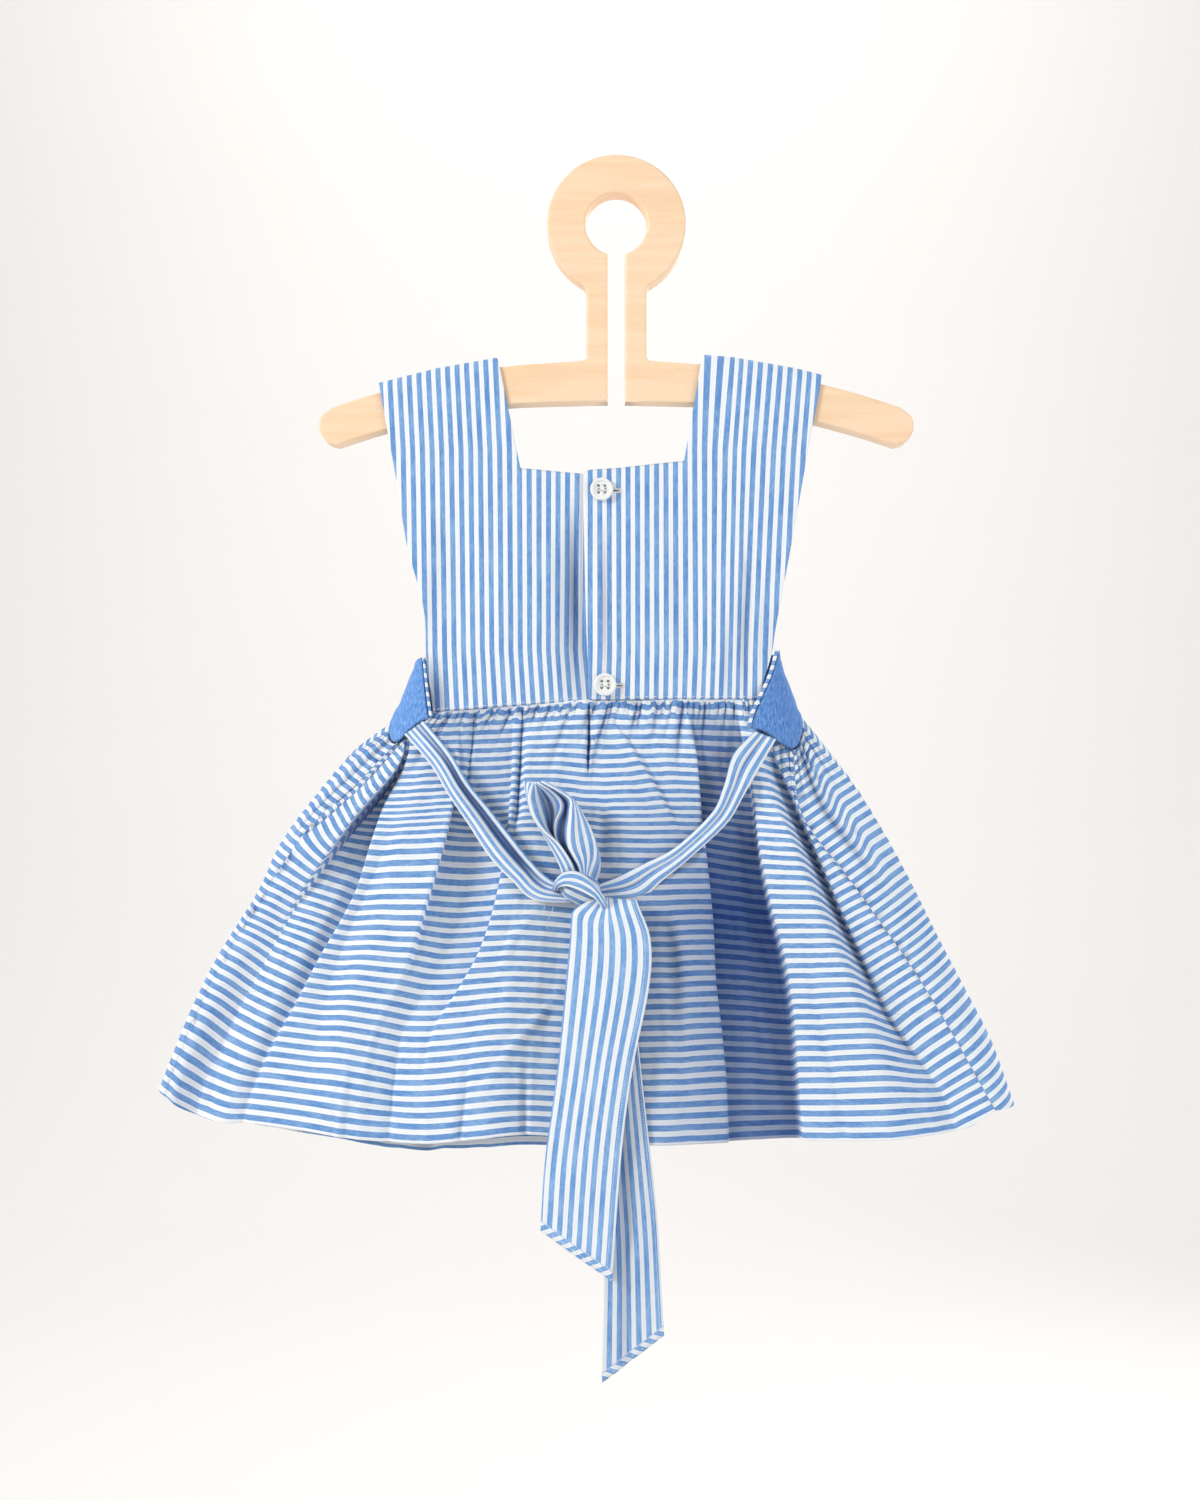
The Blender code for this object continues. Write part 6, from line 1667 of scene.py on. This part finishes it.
knotShape = {
    "rows": 50, "columns": 64, "pole": 0.02, "spiral": 0.22, "spiralFrom": 0.6, "ridges": 6, "stretch": 10,
    "centre": (-19.8, -33.6, -385.8), "half": (11.4, 7.8, 8.6), "tilt": 24, "fullness": 0.8, "ridge": 0.03,
    "around": 48.06, "phase": -1.55, "shade": 0.25,
    # upper and lower edge of the wrap in front view points, how far out it stands; its flat width and length
    "wrap": (
        (0, 552, 891, 556, 893, -33), (0.12, 556, 880.5, 558.5, 887.5, -38.5),
        (0.26, 563.5, 873.5, 566.5, 886, -42.5), (0.42, 574.5, 872, 577.5, 889.5, -44.5),
        (0.58, 585, 876.5, 588, 894.5, -45), (0.74, 595, 885.5, 596, 899.5, -44.5),
        (0.9, 603.5, 897.5, 600.5, 905.5, -42.5), (1, 607.5, 906, 603.5, 910, -39)),
    "wrapWidth": 14.4, "wrapLength": 46, "wrapRound": 5.5, "wrapPuff": 2.4, "wrapPhase": 2.77, "wrapRows": 90,
    "wrapShade": ((0, 0.14, 0.9, 1), (0.7, 0, 0, 0.5)),  # places along the wrap, how much painted shade each has
    "threadPoints": 24,
    "threads": (
        ((544, 903.5), (544.6, 907), (543, 911.5)), ((553.5, 905.5), (551.5, 913), (547.6, 920), (547, 928))),
    "threadDepth": -31.5,
}


def knotFaces(wrap):
    # faces of the knot's rounded form and the place of each corner on the flat cloth
    kind = knotShape
    rows, columns = kind["rows"], kind["columns"]
    faces, cuts = [], []
    for row in range(rows - 1):
        for column in range(columns):
            after = (column + 1) % columns
            faces.append((row * columns + column, (row + 1) * columns + column, (row + 1) * columns + after,
                          row * columns + after))
            for r, c in ((row, column), (row + 1, column), (row + 1, column + 1), (row, column + 1)):
                cuts.append(((c / columns * kind["around"] + kind["phase"]) / uvUnit,
                             float(wrap[r, c]) * kind["stretch"] / uvUnit))
    for row in (0, rows - 1):
        ring = [row * columns + c for c in range(columns)]
        faces.append(tuple(ring[::-1] if row else ring))
        cuts += [(0.0, float(wrap[row, 0]) * kind["stretch"] / uvUnit)] * columns
    return faces, cuts


def makeKnot(finishes):
    kind = knotShape
    polar = np.linspace(kind["pole"], math.pi - kind["pole"], kind["rows"])[:, None]
    turn = np.linspace(0.0, 2 * math.pi, kind["columns"] + 1)[None]
    full = np.sin(polar) ** kind["fullness"]
    wrap = polar + kind["spiral"] * np.sin(turn + kind["spiralFrom"])
    ridge = 1.0 + kind["ridge"] * np.cos(kind["ridges"] * wrap)
    x = kind["half"][0] * np.cos(polar) * ridge
    y = -kind["half"][1] * full * np.cos(turn) * ridge
    z = kind["half"][2] * full * np.sin(turn) * ridge
    tilt = math.radians(kind["tilt"])
    grid = np.stack([x * math.cos(tilt) + z * math.sin(tilt) + kind["centre"][0], y + kind["centre"][1],
                     -x * math.sin(tilt) + z * math.cos(tilt) + kind["centre"][2]], -1)
    faces, cuts = knotFaces(wrap)
    mesh = bpy.data.meshes.new("sashKnot")
    mesh.from_pydata([tuple(p * mm) for row in grid[:, :-1] for p in row], [], faces)
    layer = mesh.uv_layers.new(name="cut")
    layer.data.foreach_set("uv", np.array(cuts).ravel())
    # painted shade over the whole knot
    depth = mesh.attributes.new("foldShade", "FLOAT", "POINT")
    depth.data.foreach_set("value", np.full(len(mesh.vertices), kind["shade"], np.float32))
    maker = bmesh.new()
    maker.from_mesh(mesh)
    bmesh.ops.recalc_face_normals(maker, faces=maker.faces)
    maker.to_mesh(mesh)
    maker.free()
    mesh.shade_smooth()
    mesh.materials.append(finishes["tieCotton"])
    carry(link(bpy.data.objects.new("sashKnot", mesh)), "sash_knot")
    makeWrap(finishes)
    print("knot made")


def makeWrap(finishes):
    # the turn of cloth over the knot, its upper side rolled back
    kind, sash = knotShape, sashShape
    along = np.linspace(0.0, 1.0, kind["wrapRows"])
    rows = through(kind["wrap"], along)
    upper, lower = (frontView(rows[:, k:k + 2], rows[:, 4]) for k in (0, 2))
    part = stations(26.0, 1.0, (0.0, 0.4))
    reach = ((part - 0.15) / 0.85).clip(0, 1)
    back = kind["wrapRound"] * ((0.36 - part) / 0.36).clip(0, 1) ** 2
    puff = kind["wrapPuff"] * np.sin(math.pi * (0.15 + 0.80 * reach)) + 0.25 * np.sin(reach * 21.0)
    place = mix(upper[:, None], lower[:, None], reach[:, None])
    grid = np.stack([place[..., 0], rows[:, 4:5] + back - puff, place[..., 1]], -1)[:, ::-1]
    across = (part * kind["wrapWidth"] + kind["wrapPhase"])[::-1]
    flat = np.stack(np.meshgrid(across, along * kind["wrapLength"]), -1)
    shade = 0.35 * back[::-1] / kind["wrapRound"] + np.interp(along, *kind["wrapShade"])[:, None]
    wrap = shell("sashWrap", grid, flat, sash["half"], finishes["tieCotton"], rim=sash["rim"], shade=shade)
    declare(wrap, None)
    depth = np.full(kind["threadPoints"], kind["threadDepth"])
    for thread in kind["threads"]:
        places = [(k / (len(thread) - 1), *p) for k, p in enumerate(thread)]
        seen = frontView(through(places, np.linspace(0.0, 1.0, len(depth))), depth)
        stitchLines.append(("loose", np.stack([seen[:, 0], depth, seen[:, 1]], -1)))


loopShape = {
    # lines down the folded loop from its tip to the knot: place on the flat cloth, painted shade, then front
    # view points with how far out each stands
    "lines": (
        (0, 0.3, (
            (527, 784, -37), (530, 793, -31), (533, 803, -30), (538, 819, -30), (546, 833, -30),
            (555, 849, -30), (562, 862, -30), (565, 870, -30), (567, 877, -31))),
        (4.6, 0, (
            (523, 781, -38), (525, 790, -36), (527.4, 801, -35), (532.6, 817, -34), (541, 831, -34),
            (550, 847, -34), (557, 861, -34), (560.5, 869, -34), (563, 877, -34))),
        (16, 0, (
            (533, 783.5, -40), (530, 791, -44), (528.8, 800, -46), (533.6, 817, -46.5), (543.5, 830.5, -46),
            (557, 842, -45), (566, 854, -43), (571.5, 864, -41), (575.5, 876, -38))),
        (26.7, 0.62, (
            (536, 784.5, -38), (541, 792, -36), (546, 802, -33), (550, 816, -32), (552, 832, -32),
            (560, 846, -33), (567.5, 857, -34), (572.5, 866, -34), (576.5, 876, -34))),
        (37.4, 0.15, (
            (537, 782.5, -39.5), (551.5, 791, -39), (560.5, 800, -39.5), (561.5, 809, -40), (555.5, 821, -40),
            (554.5, 836, -40), (562, 850, -39), (570, 861, -38), (576.5, 875, -36))),
        (42.7, 0.62, (
            (539, 783, -37.5), (554.5, 791.5, -35), (565.5, 801, -33), (566, 812, -32), (562.5, 828, -32),
            (563, 843, -32), (569, 855, -33), (575, 864, -34), (579, 875, -35))),
        (48, 0, (
            (541, 781, -38.5), (557, 789.5, -42), (570.3, 798.5, -44), (570.8, 812, -45), (568.7, 834, -44.5),
            (569.8, 847, -43.5), (575.3, 858, -42), (579.5, 866, -40), (582, 876, -37))),
        (64.1, 0, (
            (543, 780.5, -37), (558.5, 788.5, -38), (572.5, 798.5, -38.5), (583, 814, -38.5), (591, 830, -38),
            (595, 845, -37), (594.5, 857, -36), (591, 867, -35), (587, 878, -34))),
        (70, 0.5, (
            (544, 782, -35), (559, 791, -33), (573, 803, -32), (583.5, 818, -31.5), (593, 834, -31.5),
            (598.5, 850, -31), (601, 863, -31), (600.5, 872, -31), (597, 883, -31))),
        (76, 0.4, (
            (542, 784, -33), (556, 794, -30), (569, 806, -29), (579, 822, -29), (588, 838, -29),
            (593, 852, -29), (595, 865, -29), (594, 874, -29), (590, 883, -29)))),
    "downAt": (0, 0.1, 0.21, 0.38, 0.53, 0.68, 0.82, 0.91, 1), "length": 58, "rows": 120, "step": 0.75,
    "softPasses": 3,
}


def makeLoop(finishes):
    kind, sash = loopShape, sashShape
    along = np.linspace(0.0, 1.0, kind["rows"])
    places = np.array([line[0] for line in kind["lines"]])
    curves = []
    for _, _, points in kind["lines"]:
        seen = through([(at, *p) for at, p in zip(kind["downAt"], points)], along)
        front = frontView(seen[:, :2], seen[:, 2])
        curves.append(np.stack([front[:, 0], seen[:, 2], front[:, 1]], -1))
    curves = np.array(curves)
    across = np.linspace(places[0], places[-1], int(places[-1] / kind["step"]) + 1)
    index = np.clip(np.searchsorted(places, across, side="right") - 1, 0, len(places) - 2)
    part = ((across - places[index]) / (places[index + 1] - places[index]))[:, None, None]
    grid = mix(curves[index], curves[index + 1], part).transpose(1, 0, 2)
    grid = softened(grid, kind["softPasses"], 1)
    shade = np.interp(across, places, [line[1] for line in kind["lines"]])[None] * ease(along / 0.12)[:, None]
    flat = np.stack(np.meshgrid(across, along * kind["length"]), -1)
    piece = shell("sashLoop", grid, flat, sash["half"], finishes["tieCotton"], rim=sash["rim"], shade=shade)
    declare(piece, "sash_loop")
    print("loop made")


buttonShape = {
    "places": (("Upper", "button_upper", -8.2, -165.6), ("Lower", "button_lower", -6.4, -274.1)),
    "profile": (
        (5.1, 0), (5.75, 0.12), (6.15, 0.55), (6.35, 1.3), (6.28, 1.85), (6, 2.25), (5.7, 2.5), (5.3, 2.6),
        (4.95, 2.5), (4.65, 2.2), (4.45, 1.85), (4.2, 1.72), (3.7, 1.66), (3.3, 1.62)),
    "lift": 0.5, "hole": 0.78, "pitch": 1.8, "steps": 72, "face": 1.65, "holeShift": 2.6, "holeDrop": -0.6,
    "slitLong": 15, "slitTall": 1.1, "slitSteps": 49, "slitRows": (0, 0.55), "clothTop": 0.6, "holeSteps": 20,
    "drillLong": 8,
}


def turnedButton(name, x, back, z):
    # a button's round form without its holes, turned from its profile
    kind = buttonShape
    turn = 2 * math.pi * np.arange(kind["steps"]) / kind["steps"]
    body = bmesh.new()
    rings = [[body.verts.new(((x + r * math.cos(t)) * mm, (back - h) * mm, (z + r * math.sin(t)) * mm))
              for t in turn] for r, h in kind["profile"]]
    for inner, outer in zip(rings, rings[1:]):
        for step in range(kind["steps"]):
            after = (step + 1) % kind["steps"]
            body.faces.new((inner[step], outer[step], outer[after], inner[after]))
    body.faces.new(rings[0])
    body.faces.new(rings[-1][::-1])
    bmesh.ops.recalc_face_normals(body, faces=body.faces)
    mesh = bpy.data.meshes.new(name)
    body.to_mesh(mesh)
    body.free()
    return link(bpy.data.objects.new(name, mesh))


def drillHoles(button, x, back, z):
    kind = buttonShape
    drills = bmesh.new()
    for sideX, sideZ in ((-1, -1), (-1, 1), (1, -1), (1, 1)):
        made = bmesh.ops.create_cone(drills, cap_ends=True, segments=kind["holeSteps"],
                                     depth=kind["drillLong"] * mm, radius1=kind["hole"] * mm,
                                     radius2=kind["hole"] * mm)
        middle = Vector(((x + sideX * kind["pitch"]) * mm, (back - 1.0) * mm,
                         (z + sideZ * kind["pitch"]) * mm))
        for vert in made["verts"]:
            vert.co = Vector((vert.co.x, -vert.co.z, vert.co.y)) + middle
    bmesh.ops.recalc_face_normals(drills, faces=drills.faces)
    mesh = bpy.data.meshes.new("drill")
    drills.to_mesh(mesh)
    drills.free()
    drill = link(bpy.data.objects.new("drill", mesh))
    cut = button.modifiers.new("holes", "BOOLEAN")
    cut.operation, cut.solver, cut.object = "DIFFERENCE", "EXACT", drill
    done = bpy.data.meshes.new_from_object(button.evaluated_get(bpy.context.evaluated_depsgraph_get()))
    button.modifiers.clear()
    button.data = done
    bpy.data.objects.remove(drill, do_unlink=True)


def makeButtons(finishes):
    kind = buttonShape
    for label, node, x, z in kind["places"]:
        cloth = bodicePoint(np.array([x]), np.array([z]), "right")[0, 1] - kind["clothTop"]
        back = cloth - kind["lift"]
        button = turnedButton("button" + label, x, back, z)
        drillHoles(button, x, back, z)
        button.data.materials.clear()
        button.data.materials.append(finishes["resin"])
        button.data.shade_smooth()
        carry(button, node)
        for side in (-1, 1):
            spot = np.array((x + side * kind["pitch"], back - kind["face"] - 0.15, z))
            stitchLines.append(("sewn", [spot + (0, 0, -0.1), spot + (0, 0, 0.1)]))
        buttonhole(label, x + kind["holeShift"], z + kind["holeDrop"], finishes)
    print("buttons made")


def buttonhole(label, x, z, finishes):
    # slit with a worked edge that shows to the right of its button
    kind = buttonShape
    turn = np.linspace(0.0, 2 * math.pi, kind["slitSteps"])
    halfLong, halfTall = kind["slitLong"] / 2, kind["slitTall"] / 2
    for grow in kind["slitRows"]:
        edgeX = np.clip(1.25 * np.cos(turn), -1, 1) * (halfLong + grow)
        edgeZ = np.clip(1.25 * np.sin(turn), -1, 1) * (halfTall + grow)
        line = bodicePoint(x + edgeX, z + edgeZ, "right")
        stitchLines.append(("satin", line - (0.0, bodiceShape["half"] + 0.12, 0.0)))
    part = np.linspace(-1.0, 1.0, 21)
    tall = np.linspace(halfTall, -halfTall, 5)[:, None] * np.sqrt(1.02 - part ** 2)[None]
    grid = bodicePoint(x + (halfLong * part)[None] + np.zeros((5, 1)), z + tall, "right")
    grid[..., 1] -= bodiceShape["half"] + 0.06
    # a thin dark sheet in the slit: painted shade where the opening would be dark
    slit = shell("slit" + label, grid, measured(grid), 0.05, finishes["slitShade"], rim=0.3)
    dropSizes(slit)
    carry(slit, None)


def main():
    setStudio()
    finishes = makeFinishes()
    makeHanger(finishes)
    makeBodice(finishes)
    makeWings(finishes)
    makeSkirtFront(finishes, makeSkirtBack(finishes))
    makeKnot(finishes)
    makeSash(finishes)
    makeLoop(finishes)
    makeButtons(finishes)
    bodiceStitches()
    makeStitches(finishes)


main()
